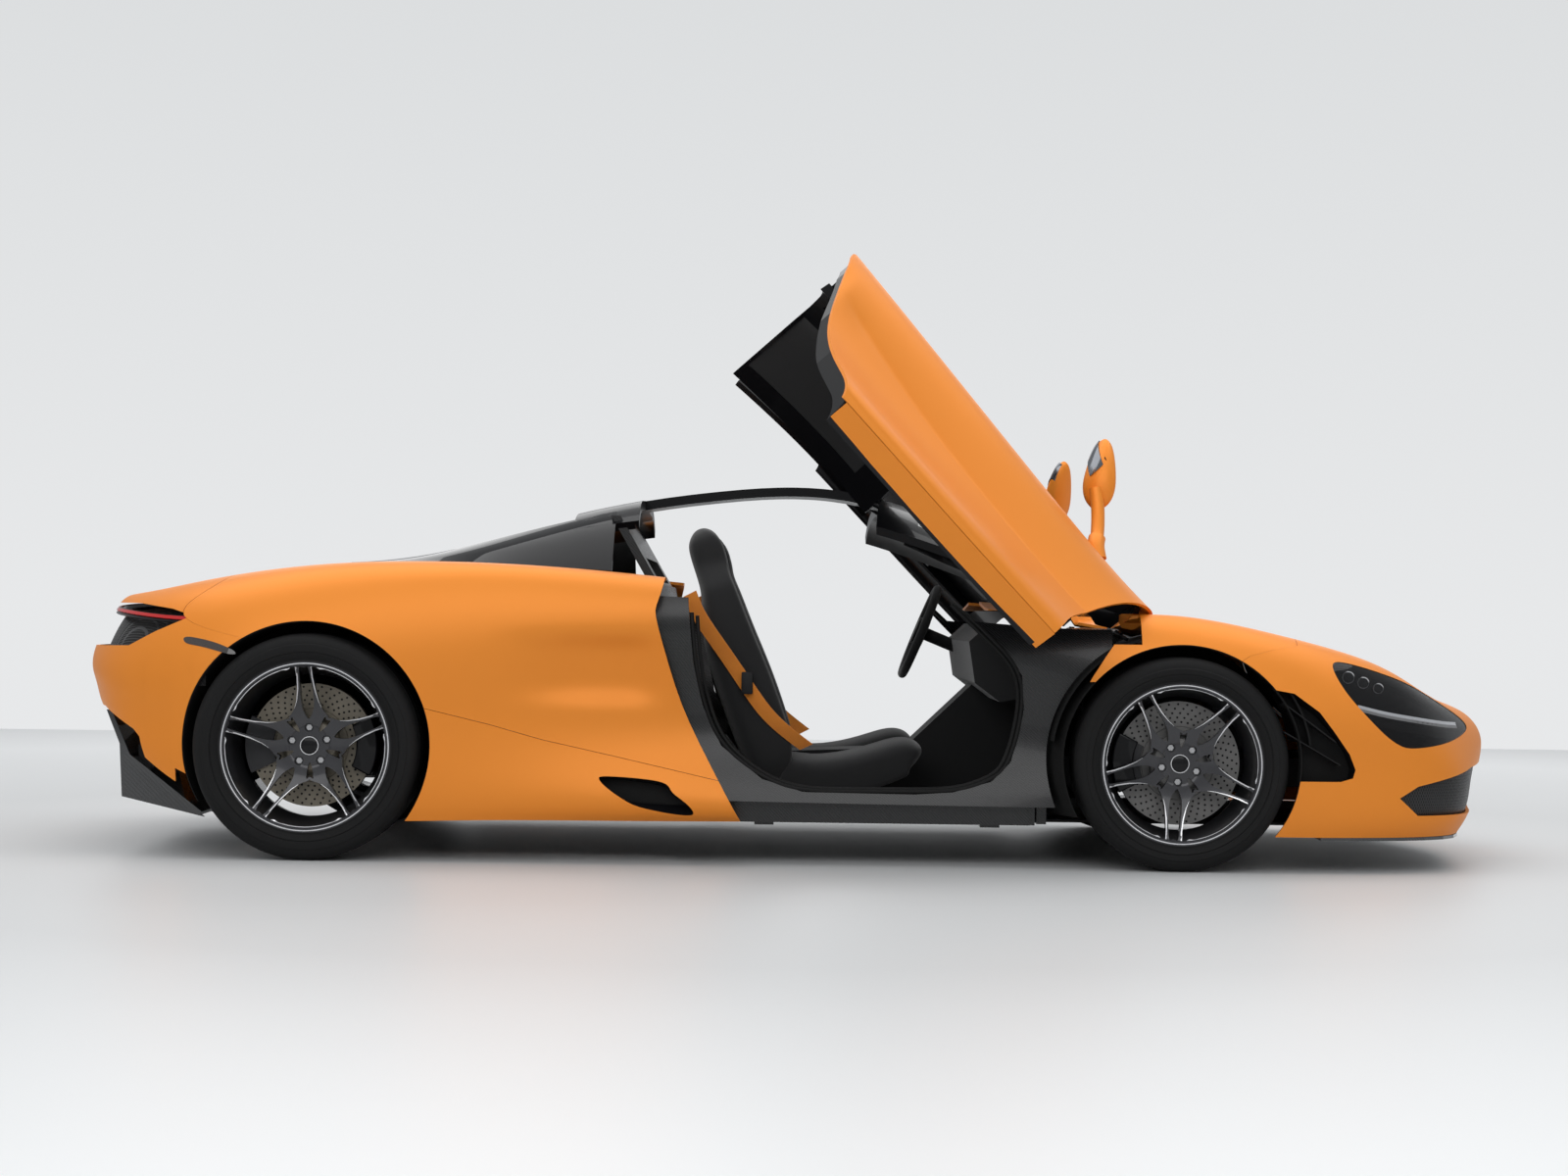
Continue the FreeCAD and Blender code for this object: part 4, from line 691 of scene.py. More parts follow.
MIRROR = Matrix.Scale(-1, 4, (0, 1, 0))
CENTRE = .001   # where left-hand cutters start
INBOARD = .6    # inside the flanks' panels
BEYOND = 1.1    # outside the flanks
FAR = 3.0       # past either end of the car
FINE = 1e-5     # below this, points are the same


def deselect() -> None:
    """Leaves nothing selected."""
    bpy.ops.object.select_all(action="DESELECT")


def pick(*pieces: bpy.types.Object) -> None:
    """Selects pieces and makes the first of them active."""
    deselect()
    for piece in pieces:
        piece.select_set(True)
    bpy.context.view_layer.objects.active = pieces[0]


def named(name: str) -> bpy.types.Object:
    """Names the primitive that was just added."""
    piece = bpy.context.active_object
    piece.name = piece.data.name = name
    return piece


def coordinates(piece: bpy.types.Object) -> np.ndarray:
    """The piece's vertices."""
    flat = np.empty(len(piece.data.vertices) * 3)
    piece.data.vertices.foreach_get("co", flat)
    return flat.reshape(-1, 3)


def reshape(piece: bpy.types.Object, places: np.ndarray) -> bpy.types.Object:
    """Moves every vertex of the piece."""
    piece.data.vertices.foreach_set("co", np.ascontiguousarray(places, dtype=float).ravel())
    piece.data.update()
    return piece


def apply(piece: bpy.types.Object, kind: str, **settings: object) -> bpy.types.Object:
    """Adds a modifier and applies it."""
    pick(piece)
    modifier = piece.modifiers.new(kind.lower(), kind)
    for key, value in settings.items():
        setattr(modifier, key, value)
    bpy.ops.object.modifier_apply(modifier=modifier.name)
    return piece


def edit(piece: bpy.types.Object, *moves: Callable[[], object]) -> bpy.types.Object:
    """Runs edit-mode operators on the whole piece."""
    pick(piece)
    bpy.ops.object.mode_set(mode="EDIT")
    bpy.ops.mesh.select_all(action="SELECT")
    for move in moves:
        move()
    bpy.ops.object.mode_set(mode="OBJECT")
    return piece


def tidy_normals(piece: bpy.types.Object) -> bpy.types.Object:
    """Merges doubles and turns all faces outwards."""
    return edit(piece, lambda: bpy.ops.mesh.remove_doubles(threshold=FINE),
                lambda: bpy.ops.mesh.normals_make_consistent(inside=False))


def moved(piece: bpy.types.Object, matrix: Matrix) -> bpy.types.Object:
    """Moves the mesh itself, and turns its faces back out where the move mirrors it."""
    piece.data.transform(matrix)
    if matrix.determinant() < 0:
        edit(piece, lambda: bpy.ops.mesh.flip_normals())
    return piece


def copied(piece: bpy.types.Object, name: str, matrix: Matrix = Matrix()) -> bpy.types.Object:
    """A copy with its own mesh, moved."""
    twin = piece.copy()
    twin.data = piece.data.copy()
    twin.name = twin.data.name = name
    bpy.context.collection.objects.link(twin)
    return moved(twin, matrix)


def joined(*pieces: bpy.types.Object) -> bpy.types.Object:
    """All pieces as one object, the first."""
    pick(*pieces)
    if len(pieces) > 1:
        bpy.ops.object.join()
    return pieces[0]


def both(piece: bpy.types.Object) -> bpy.types.Object:
    """A left piece with its right twin, in one object."""
    return joined(piece, copied(piece, piece.name + "_twin", MIRROR))


@dataclass(frozen=True)
class Span:
    """A range of stations or lines and how many steps it has."""

    low: float
    high: float
    steps: int


def sheet(name: str, skin: Skin, us: Span, vs: Span, depth: float = 0.0,
          crown: Callable[[np.ndarray, np.ndarray], np.ndarray] | None = None) -> bpy.types.Object:
    """A dense sheet laid on a surface of the car.

    Args:
        name: The piece's name.
        skin: The surface.
        us: Its stations.
        vs: Its lines.
        depth: How far below the surface it lies.
        crown: Extra depth by place across and up the sheet, each from -1 to 1.

    Returns:
        The sheet, facing outwards.
    """
    deselect()
    bpy.ops.mesh.primitive_grid_add(x_subdivisions=us.steps, y_subdivisions=vs.steps, size=1)
    piece = named(name)
    flat = coordinates(piece)
    u = us.low + (flat[:, 0] + 0.5) * (us.high - us.low)
    v = vs.low + (flat[:, 1] + 0.5) * (vs.high - vs.low)
    places, normals = skin.points(u, v), skin.normals(u, v)
    deep = np.full(len(u), depth)
    if skin is BODY:
        deep = deep + side_relief(places)
    if crown:
        deep = deep + crown(flat[:, 0] * 2, flat[:, 1] * 2)
    reshape(piece, places - normals * deep[:, None])
    middle = piece.data.polygons[len(piece.data.polygons) // 2]
    nearest = normals[middle.vertices[0]]
    if np.dot(np.array(middle.normal), nearest) < 0:
        edit(piece, lambda: bpy.ops.mesh.flip_normals())
    return piece


def over_the_middle(piece: bpy.types.Object) -> bpy.types.Object:
    """The left sheet carried over the centre plane."""
    return apply(piece, "MIRROR", use_axis=(False, True, False), use_clip=True, merge_threshold=1e-4)


def walled(piece: bpy.types.Object, wall: float) -> bpy.types.Object:
    """The sheet with a thickness below it."""
    return apply(piece, "SOLIDIFY", thickness=wall, offset=-1.0)


def prism(outline: Sequence[Flat], plane: Plane, low: float, high: float,
          name: str = "cutter") -> bpy.types.Object:
    """A solid with a flat outline.

    Args:
        outline: The outline's corners.
        plane: The plane that it is drawn on.
        low: Where it starts along the third axis.
        high: Where it ends.
        name: The solid's name.

    Returns:
        The solid, facing outwards.
    """
    first, second, third = plane.value
    deselect()
    bpy.ops.mesh.primitive_circle_add(vertices=len(outline), radius=1, fill_type="NGON")
    piece = named(name)
    places = np.full((len(outline), 3), float(low))
    places[:, [first, second]] = outline
    reshape(piece, places)
    step = [0.0, 0.0, 0.0]
    step[third] = high - low
    return edit(piece, lambda: bpy.ops.mesh.extrude_region_move(TRANSFORM_OT_translate={"value": step}),
                lambda: bpy.ops.mesh.select_all(action="SELECT"),
                lambda: bpy.ops.mesh.normals_make_consistent(inside=False))


def slab(low: Point, high: Point, name: str = "cutter") -> bpy.types.Object:
    """A block between two corners."""
    corners = [(low[0], low[1]), (high[0], low[1]), (high[0], high[1]), (low[0], high[1])]
    return prism(corners, Plane.PLAN, low[2], high[2], name)


def drum(x: float, z: float, radius: float, low: float, high: float, name: str = "cutter",
         steps: int = 128) -> bpy.types.Object:
    """A cylinder across the car.

    Args:
        x: Its axis's place along the car.
        z: Its axis's height.
        radius: Its radius.
        low: Where it starts across the car.
        high: Where it ends.
        name: Its name.
        steps: How many sides it has.

    Returns:
        The cylinder.
    """
    turns = [math.tau * k / steps for k in range(steps)]
    outline = [(x + radius * math.cos(t), z + radius * math.sin(t)) for t in turns]
    return prism(outline, Plane.SIDE, low, high, name)


def rounded(points: Sequence[Flat], steps: int = 8) -> list[Flat]:
    """A smooth closed outline through points."""
    closed = np.array([points[k % len(points)] for k in range(-3, len(points) + 4)], dtype=float)
    t = np.arange(3, 3 + len(points), 1.0 / steps)
    return [tuple(p) for p in Spline(closed).along(t)]


def smooth_line(points: Sequence[Flat], steps: int = 8) -> list[Flat]:
    """A smooth open line through points."""
    t = np.linspace(0, len(points) - 1, (len(points) - 1) * steps + 1)
    return [tuple(p) for p in Spline(np.array(points, dtype=float)).along(t)]


def cut(piece: bpy.types.Object, *cutters: bpy.types.Object, keep: str = "DIFFERENCE") -> bpy.types.Object:
    """Takes cutters out of a piece, or keeps only what lies in them, and removes the cutters.

    Args:
        piece: The piece.
        cutters: Closed solids; joined ones may overlap where the piece is kept within them.
        keep: The boolean's operation.

    Returns:
        The piece.
    """
    for cutter in cutters:
        apply(piece, "BOOLEAN", operation=keep, solver="EXACT", object=cutter,
              use_self=keep == "INTERSECT")
        bpy.data.objects.remove(cutter)
    return piece


def with_twins(*cutters: bpy.types.Object) -> list[bpy.types.Object]:
    """Left cutters and their right twins."""
    return [item for cutter in cutters for item in (cutter, copied(cutter, "twin", MIRROR))]


def smooth(piece: bpy.types.Object, degrees: float = 35.0) -> bpy.types.Object:
    """Smooth shading except at edges sharper than an angle."""
    pick(piece)
    bpy.ops.object.shade_smooth_by_angle(angle=math.radians(degrees))
    return piece


def dress(piece: bpy.types.Object, look: Look) -> bpy.types.Object:
    """Gives the piece one finish."""
    piece.data.materials.clear()
    piece.data.materials.append(look.material())
    return piece


def fit(piece: bpy.types.Object, body: str, slot: str, *nodes: str) -> bpy.types.Object:
    """Puts a finished piece on the car.

    Args:
        piece: The piece.
        body: The body that it moves with.
        slot: The record's finish slot; not used.
        nodes: The frame's nodes that it stands for.

    Returns:
        The piece.
    """
    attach(piece, body)
    if nodes:
        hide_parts(*nodes)
    log.info("%s: %d faces on %s", piece.name, len(piece.data.polygons), body)
    return piece


def shifted(points: Iterable[Flat], dx: float) -> list[Flat]:
    """Points moved along the first axis."""
    return [(x + dx, z) for x, z in points]


def behind(line: Sequence[Flat], gap: float = 0.0) -> bpy.types.Object:
    """All that lies behind an upward side line, on the left."""
    points = shifted(line, -gap)
    return prism([*points, (-FAR, points[-1][1]), (-FAR, points[0][1])], Plane.SIDE, CENTRE, BEYOND)


def ahead(line: Sequence[Flat], gap: float = 0.0) -> bpy.types.Object:
    """All that lies ahead of an upward side line, on the left."""
    points = shifted(line, gap)
    return prism([*points, (FAR, points[-1][1]), (FAR, points[0][1])], Plane.SIDE, CENTRE, BEYOND)


# ---------------------------------------------------------------------------------------------------------
# Shut lines and outlines, seen from the side (x, z) unless said otherwise
# ---------------------------------------------------------------------------------------------------------
DOOR_REAR = [(-.118, .040), (-.167, .135), (-.295, .368), (-.372, .545), (-.425, .724), (-.432, .790),
             (-.412, .858), (-.398, .960), (-.390, 1.060), (-.384, 1.240)]
DOOR_FRONT = [(.742, .040), (.745, .135), (.765, .280), (.815, .430), (.896, .593), (.999, .744),
              (1.040, .790)]
SKIRT_SEAM = [(-1.200, .484), (-1.141, .469), (-.938, .421), (-.779, .377), (-.565, .331), (-.238, .259),
              (-.100, .228)]
BUMPER_SEAM = [(1.300, .560), (1.340, .637), (1.377, .660), (1.450, .679), (1.533, .694), (1.560, .900)]
TAIL_SEAM = [(-1.600, .640), (-1.652, .666), (-1.889, .741), (-1.766, .865), (-1.730, 1.000)]
EYE = [(1.640, .634), (1.693, .641), (1.808, .610), (1.920, .568), (2.030, .512), (2.126, .450),
       (2.083, .416), (1.997, .396), (1.892, .384), (1.838, .394), (1.786, .431), (1.715, .504),
       (1.664, .570)]
CORNER_VENT = [(1.440, .560), (1.509, .548), (1.587, .492), (1.633, .432), (1.681, .365), (1.700, .318),
               (1.692, .292), (1.654, .281), (1.440, .281)]
SKIRT_INLET = [(-.603, .262), (-.560, .268), (-.421, .255), (-.381, .226), (-.340, .193), (-.315, .165),
               (-.324, .153), (-.380, .157), (-.467, .174), (-.524, .197), (-.580, .235)]
NOSE_INTAKE = [(2.400, .178), (2.400, .330), (2.120, .318), (1.900, .268), (1.840, .232), (1.900, .178)]
TAIL_MESH = [(-2.300, .640), (-2.300, .776), (-2.160, .778), (-2.050, .776), (-1.930, .760), (-1.860, .740),
             (-1.980, .690), (-2.070, .645)]
TAIL_UNDER = [(-1.600, .560), (-1.600, -.050), (-1.870, .205), (-2.040, .390), (-2.160, .455), (-2.400, .470),
              (-2.400, -.060), (-1.500, -.060), (-1.500, .560)]
BONNET_EDGE = [(2.052, 0), (2.040, .150), (1.990, .300), (1.880, .420), (1.700, .500), (1.480, .560),
               (1.250, .590), (1.140, .597), (1.108, .565)]
DOOR_RING = [(.480, .815), (.560, .735), (.640, .655), (.682, .585), (.690, .480), (.655, .335),
             (.599, .272), (.500, .238), (.362, .229), (.180, .227), (.021, .231), (-.105, .270),
             (-.228, .366), (-.288, .490), (-.316, .616), (-.331, .770)]
SIDE_MARKER = [(-1.876, .674), (-1.830, .671), (-1.770, .657), (-1.716, .634), (-1.722, .624), (-1.770, .634),
               (-1.830, .648), (-1.872, .657)]
SCUTTLE_X = 1.000   # the front edge of the panel at the screen's foot
GAP = .004          # round a door, a lid or a moving edge
SEAM = .0015        # between two fixed panels
PANEL = .010        # the painted panels' thickness
ARCH_RISE = .004    # how far the arches' middles lie above the wheels' middles


@dataclass(frozen=True)
class Axle:
    """One axle and the wheels that it carries."""

    name: str
    x: float
    half_track: float
    radius: float
    width: float
    rim: float
    slot: float
    arch: float = 0.034
    rotor: float = 0.190

    def lip(self) -> float:
        """The radius of the opening in the body."""
        return self.radius + self.arch


FRONT = Axle("front", 1.172, .837, .327, .245, .241, 120.0)
REAR = Axle("rear", -1.498, .8145, .3455, .305, .254, 92.0)


def arch_cutter(axle: Axle) -> bpy.types.Object:
    """The wheel opening of one axle, on the left."""
    return drum(axle.x, axle.radius + ARCH_RISE, axle.lip(), .56, BEYOND)


def bonnet_cutter(grow: float) -> bpy.types.Object:
    """The left half of the bonnet's outline, widened by a gap and drawn out upwards."""
    edge = [(x + (grow if x > 1.9 else 0), y + (grow if y else 0)) for x, y in BONNET_EDGE]
    rear, over = edge[-1][0] - grow, -.02
    corners = [(rear, edge[-1][1]), (rear, over), (edge[0][0], over)]
    return prism(smooth_line(edge[:-1], 4) + corners, Plane.PLAN, .3, 1.3)


def grown(outline: Sequence[Flat], amount: float) -> list[Flat]:
    """An outline scaled about its middle so that its farthest point moves out by an amount."""
    middle = np.mean(np.array(outline), axis=0)
    reach = max(math.hypot(*(np.array(p) - middle)) for p in outline)
    return [tuple(middle + (np.array(p) - middle) * (1 + amount / reach)) for p in outline]


def eye_cutter(grow: float = 0.0) -> bpy.types.Object:
    """The left headlight's opening, on the outer side of the wing's crest."""
    opening = prism(rounded(grown(EYE, grow)), Plane.SIDE, .4, BEYOND)
    return cut(opening, slab((1.5, .3, .3), (2.0, .64, .8)))


@dataclass
class BodyShell:
    """The fixed and hinged outer panels: bumpers, wings, bonnet, quarters, skirts and engine cover."""

    wall: float = PANEL
    look: Look = Look.PAINT

    def finished(self, piece: bpy.types.Object, body: str, *nodes: str) -> bpy.types.Object:
        """Smooths, paints and fits a panel."""
        return fit(dress(smooth(piece), self.look), body, "orange_paint", *nodes)

    def front_bumper(self) -> None:
        """The nose, open for the lamps, the corner vents and the lower intake."""
        shell = over_the_middle(sheet("nose_skin", BODY, Span(0, 4.7, 118), Span(0, 7, 108)))
        walled(shell, self.wall)
        cutters = [behind(BUMPER_SEAM), arch_cutter(FRONT), bonnet_cutter(GAP), eye_cutter(),
                   prism(CORNER_VENT, Plane.SIDE, INBOARD, BEYOND),
                   prism(NOSE_INTAKE, Plane.SIDE, .11, BEYOND)]
        self.finished(cut(shell, *with_twins(*cutters)), "chassis", "front_bumper")

    def front_wings(self) -> None:
        """The wings from the bumper's seam back to the door."""
        shell = walled(sheet("wing_skin", BODY, Span(3, 6.6, 90), Span(1.6, 6.2, 80)), self.wall)
        mirror_foot = prism([(.5, .69), (.9, .69), (1.048, .80), (1.048, BEYOND), (.5, BEYOND)],
                            Plane.PLAN, .69, 1.3)
        low_rear = slab((.5, CENTRE, -.05), (1.1, BEYOND, .575))
        low_front = slab((1.30, CENTRE, -.05), (2.5, BEYOND, BUMPER_SEAM[0][1] + .0005))
        scuttle = slab((SCUTTLE_X, CENTRE, .69), (BONNET_EDGE[-1][0] + GAP, .600, .80))
        cut(shell, ahead(BUMPER_SEAM, -SEAM), low_rear, low_front, arch_cutter(FRONT), bonnet_cutter(GAP),
            eye_cutter(), behind(smooth_line(DOOR_FRONT, 3), -GAP), mirror_foot, scuttle)
        self.finished(both(shell), "chassis", "front_wings")

    def bonnet(self) -> None:
        """The front lid."""
        shell = over_the_middle(sheet("bonnet_skin", BODY, Span(.5, 5.7, 100), Span(4.4, 7, 44)))
        walled(shell, self.wall)
        cutter = bonnet_cutter(0)
        plan = joined(cutter, copied(cutter, "twin", MIRROR))
        self.finished(cut(shell, plan, keep="INTERSECT"), "bonnet", "bonnet")

    def rear_quarters(self) -> None:
        """The haunches from the door to the tail's seam."""
        shell = walled(sheet("haunch_skin", BODY, Span(8.4, 12.6, 130), Span(0, 5, 100)), self.wall)
        skirt = prism([(-1.3, -.05), *SKIRT_SEAM, (-.1, -.05)], Plane.SIDE, INBOARD, BEYOND)
        cut(shell, ahead(smooth_line(DOOR_REAR, 3), -GAP), arch_cutter(REAR), skirt,
            behind(smooth_line(TAIL_SEAM)), slab((-1.9, CENTRE, -.05), (-1.5, BEYOND, .56)))
        self.finished(both(shell), "chassis", "rear_quarters")

    def side_skirts(self) -> None:
        """The sills between the door and the rear wheel, with their inlets."""
        shell = walled(sheet("sill_skin", BODY, Span(8.1, 11, 90), Span(0, 2.2, 50)), self.wall)
        top = [(x, z - SEAM) for x, z in SKIRT_SEAM]
        cut(shell, prism([(-1.3, -.05), *top, (-.1, -.05)], Plane.SIDE, INBOARD, BEYOND), keep="INTERSECT")
        cut(shell, ahead(smooth_line(DOOR_REAR, 3), -GAP), arch_cutter(REAR),
            prism(rounded(SKIRT_INLET), Plane.SIDE, INBOARD, BEYOND))
        self.finished(both(shell), "chassis", "side_skirts")

    def rear_bumper(self) -> None:
        """The tail, open for its mesh and its lamps."""
        shell = over_the_middle(sheet("tail_skin", BODY, Span(10.9, 15, 110), Span(.6, 5, 90)))
        walled(shell, self.wall)
        cutters = [ahead(smooth_line(TAIL_SEAM), -SEAM), arch_cutter(REAR),
                   prism(TAIL_UNDER, Plane.SIDE, -CENTRE, BEYOND),
                   prism(TAIL_MESH, Plane.SIDE, -CENTRE, BEYOND)]
        self.finished(cut(shell, *with_twins(*cutters)), "chassis", "rear_bumper")

    def arch_walls(self) -> None:
        """The dark inner walls of the wheel openings, and the floors of the skirts' inlets."""
        inboard = .568
        for axle in (FRONT, REAR):
            reach = axle.lip() + .001
            rim = [(axle.x + reach * math.cos(t), axle.radius + ARCH_RISE + reach * math.sin(t))
                   for t in np.radians(np.linspace(-28, 208, 80))]
            outer = BODY.beside(rim, .004)
            # a steered wheel swings past the rim's ends, so the front wall widens inwards
            wide, tall = (1.28, 1.03) if axle is FRONT else (1.0, 1.0)
            inner = [(axle.x + (x - axle.x) * wide, inboard, axle.radius + (z - axle.radius) * tall)
                     for x, z in rim]
            low, high, near = (38, 142, .24) if axle is FRONT else (-30, 210, .11)
            sector = np.radians(np.linspace(low, high, 60))
            ring = [(axle.x + r * math.cos(t), axle.radius + r * math.sin(t))
                    for r, turns in ((axle.lip() + .012, sector), (near, sector[::-1])) for t in turns]
            back = prism(ring, Plane.SIDE, inboard + .002, inboard + .006, f"arch_back_{axle.name}")
            fit(dress(both(smooth(back)), Look.LINER), "chassis", "black_plastic")
            wall = ribbon(f"arch_wall_{axle.name}", outer, inner, .003)
            fit(dress(both(smooth(wall)), Look.LINER), "chassis", "black_plastic")
        inlet = .045
        floor = walled(sheet("inlet_floor", BODY, Span(8.5, 9.6, 40), Span(0, 1.6, 30), inlet), .003)
        fit(dress(both(smooth(floor)), Look.LINER), "chassis", "black_plastic")
        wall = reveal("inlet_wall", rounded(SKIRT_INLET, 5), .002, inlet)
        fit(dress(both(smooth(wall)), Look.GLOSS), "chassis", "black_gloss")

    def engine_cover(self) -> None:
        """The deck behind the cabin."""
        shell = over_the_middle(sheet("deck_skin", BODY, Span(9.7, 14.98, 100), Span(5, 7, 50)))
        fit(dress(smooth(walled(shell, self.wall)), Look.GLOSS), "chassis", "black_gloss", "engine_cover")

    def build(self) -> None:
        """Makes every panel."""
        self.front_bumper()
        self.front_wings()
        self.bonnet()
        self.rear_quarters()
        self.side_skirts()
        self.rear_bumper()
        self.engine_cover()
        self.arch_walls()


def lathe(name: str, outline: Sequence[Flat], axle: Axle, steps: int = 128) -> bpy.types.Object:
    """A closed outline turned round an axle's line, on the left.

    Args:
        name: The piece's name.
        outline: Its section, as (radius, distance outboard of the wheel's middle).
        axle: The axle.
        steps: How many sides it has.

    Returns:
        The turned piece.
    """
    deselect()
    bpy.ops.mesh.primitive_circle_add(vertices=len(outline), radius=1, fill_type="NOTHING")
    piece = named(name)
    reshape(piece, np.array([(r, y, 0) for r, y in outline]))
    edit(piece, lambda: bpy.ops.mesh.spin(steps=steps, angle=math.tau, center=(0, 0, 0), axis=(0, 1, 0)))
    moved(piece, Matrix.Translation((axle.x, axle.half_track, axle.radius)))
    return tidy_normals(piece)


def ribbon(name: str, first: Sequence[Point], second: Sequence[Point], wall: float) -> bpy.types.Object:
    """A thin strip between two lines of as many points.

    Args:
        name: The strip's name.
        first: One edge.
        second: The other edge.
        wall: The strip's thickness.

    Returns:
        The strip.
    """
    deselect()
    bpy.ops.mesh.primitive_grid_add(x_subdivisions=len(first) - 1, y_subdivisions=1, size=1)
    piece = named(name)
    grid = coordinates(piece)
    share = np.clip((grid[:, 0] + .5) * (len(first) - 1), 0, len(first) - 1).round().astype(int)
    side = (grid[:, 1] > 0)[:, None]
    reshape(piece, np.where(side, np.array(second)[share], np.array(first)[share]))
    return walled(piece, wall)


def tube(name: str, path: Sequence[Point], radius: float, sides: int = 12) -> bpy.types.Object:
    """A round bar along a smooth path.

    Args:
        name: The bar's name.
        path: The points that its middle line passes through.
        radius: Its radius.
        sides: How many sides it has.

    Returns:
        The bar, with closed ends.
    """
    spine = np.array(smooth_line(path, 6))
    along = np.gradient(spine, axis=0)
    along /= np.linalg.norm(along, axis=1)[:, None]
    up = np.array([0.0, 0.0, 1.0]) if abs(along[:, 2]).max() < .95 else np.array([0.0, 1.0, 0.0])
    side = np.cross(along, up)
    side /= np.linalg.norm(side, axis=1)[:, None]
    over = np.cross(side, along)
    deselect()
    bpy.ops.mesh.primitive_grid_add(x_subdivisions=len(spine) - 1, y_subdivisions=sides, size=1)
    piece = named(name)
    grid = coordinates(piece)
    k = ((grid[:, 0] + .5) * (len(spine) - 1)).round().astype(int)
    turn = (grid[:, 1] + .5) * math.tau
    offset = side[k] * np.cos(turn)[:, None] + over[k] * np.sin(turn)[:, None]
    reshape(piece, spine[k] + offset * radius)
    edit(piece, lambda: bpy.ops.mesh.remove_doubles(threshold=FINE),
         lambda: bpy.ops.mesh.select_all(action="SELECT"),
         lambda: bpy.ops.mesh.fill_holes(sides=sides + 1),
         lambda: bpy.ops.mesh.select_all(action="SELECT"),
         lambda: bpy.ops.mesh.normals_make_consistent(inside=False))
    return piece


def laid(name: str, skin: Skin, path: Sequence[Flat], width: float, depth: float,
         wall: float = .002) -> bpy.types.Object:
    """A strip laid along a smooth (u, v) path on a surface.

    Args:
        name: The strip's name.
        skin: The surface.
        path: The strip's middle line, in stations and lines.
        width: How wide it is.
        depth: How far below the surface it lies.
        wall: Its thickness.

    Returns:
        The strip.
    """
    line = np.array(smooth_line(path, 8))
    places, normals = skin.points(line[:, 0], line[:, 1]), skin.normals(line[:, 0], line[:, 1])
    along = np.gradient(places, axis=0)
    side = np.cross(normals, along / np.linalg.norm(along, axis=1)[:, None])
    places = places - normals * depth
    return ribbon(name, places - side * width / 2, places + side * width / 2, wall)


def strip(name: str, outline: Sequence[Flat], width: float, depth: float,
          wall: float = .002) -> bpy.types.Object:
    """An upright strip on the flank.

    Args:
        name: The strip's name.
        outline: The (x, z) points of its middle line.
        width: How wide it is.
        depth: How far below the surface it lies.
        wall: Its thickness.

    Returns:
        The strip.
    """
    low = BODY.beside([(x, z - width / 2) for x, z in outline], depth)
    high = BODY.beside([(x, z + width / 2) for x, z in outline], depth)
    return ribbon(name, low, high, wall)


def reveal(name: str, outline: Sequence[Flat], near: float, far: float) -> bpy.types.Object:
    """The wall of an opening in the flank.

    Args:
        name: The wall's name.
        outline: The opening, as (x, z) points.
        near: The depth below the surface at which it starts.
        far: The depth at which it ends.

    Returns:
        The wall.
    """
    closed = [*outline, outline[0]]
    return ribbon(name, BODY.beside(closed, near), BODY.beside(closed, far), .0015)


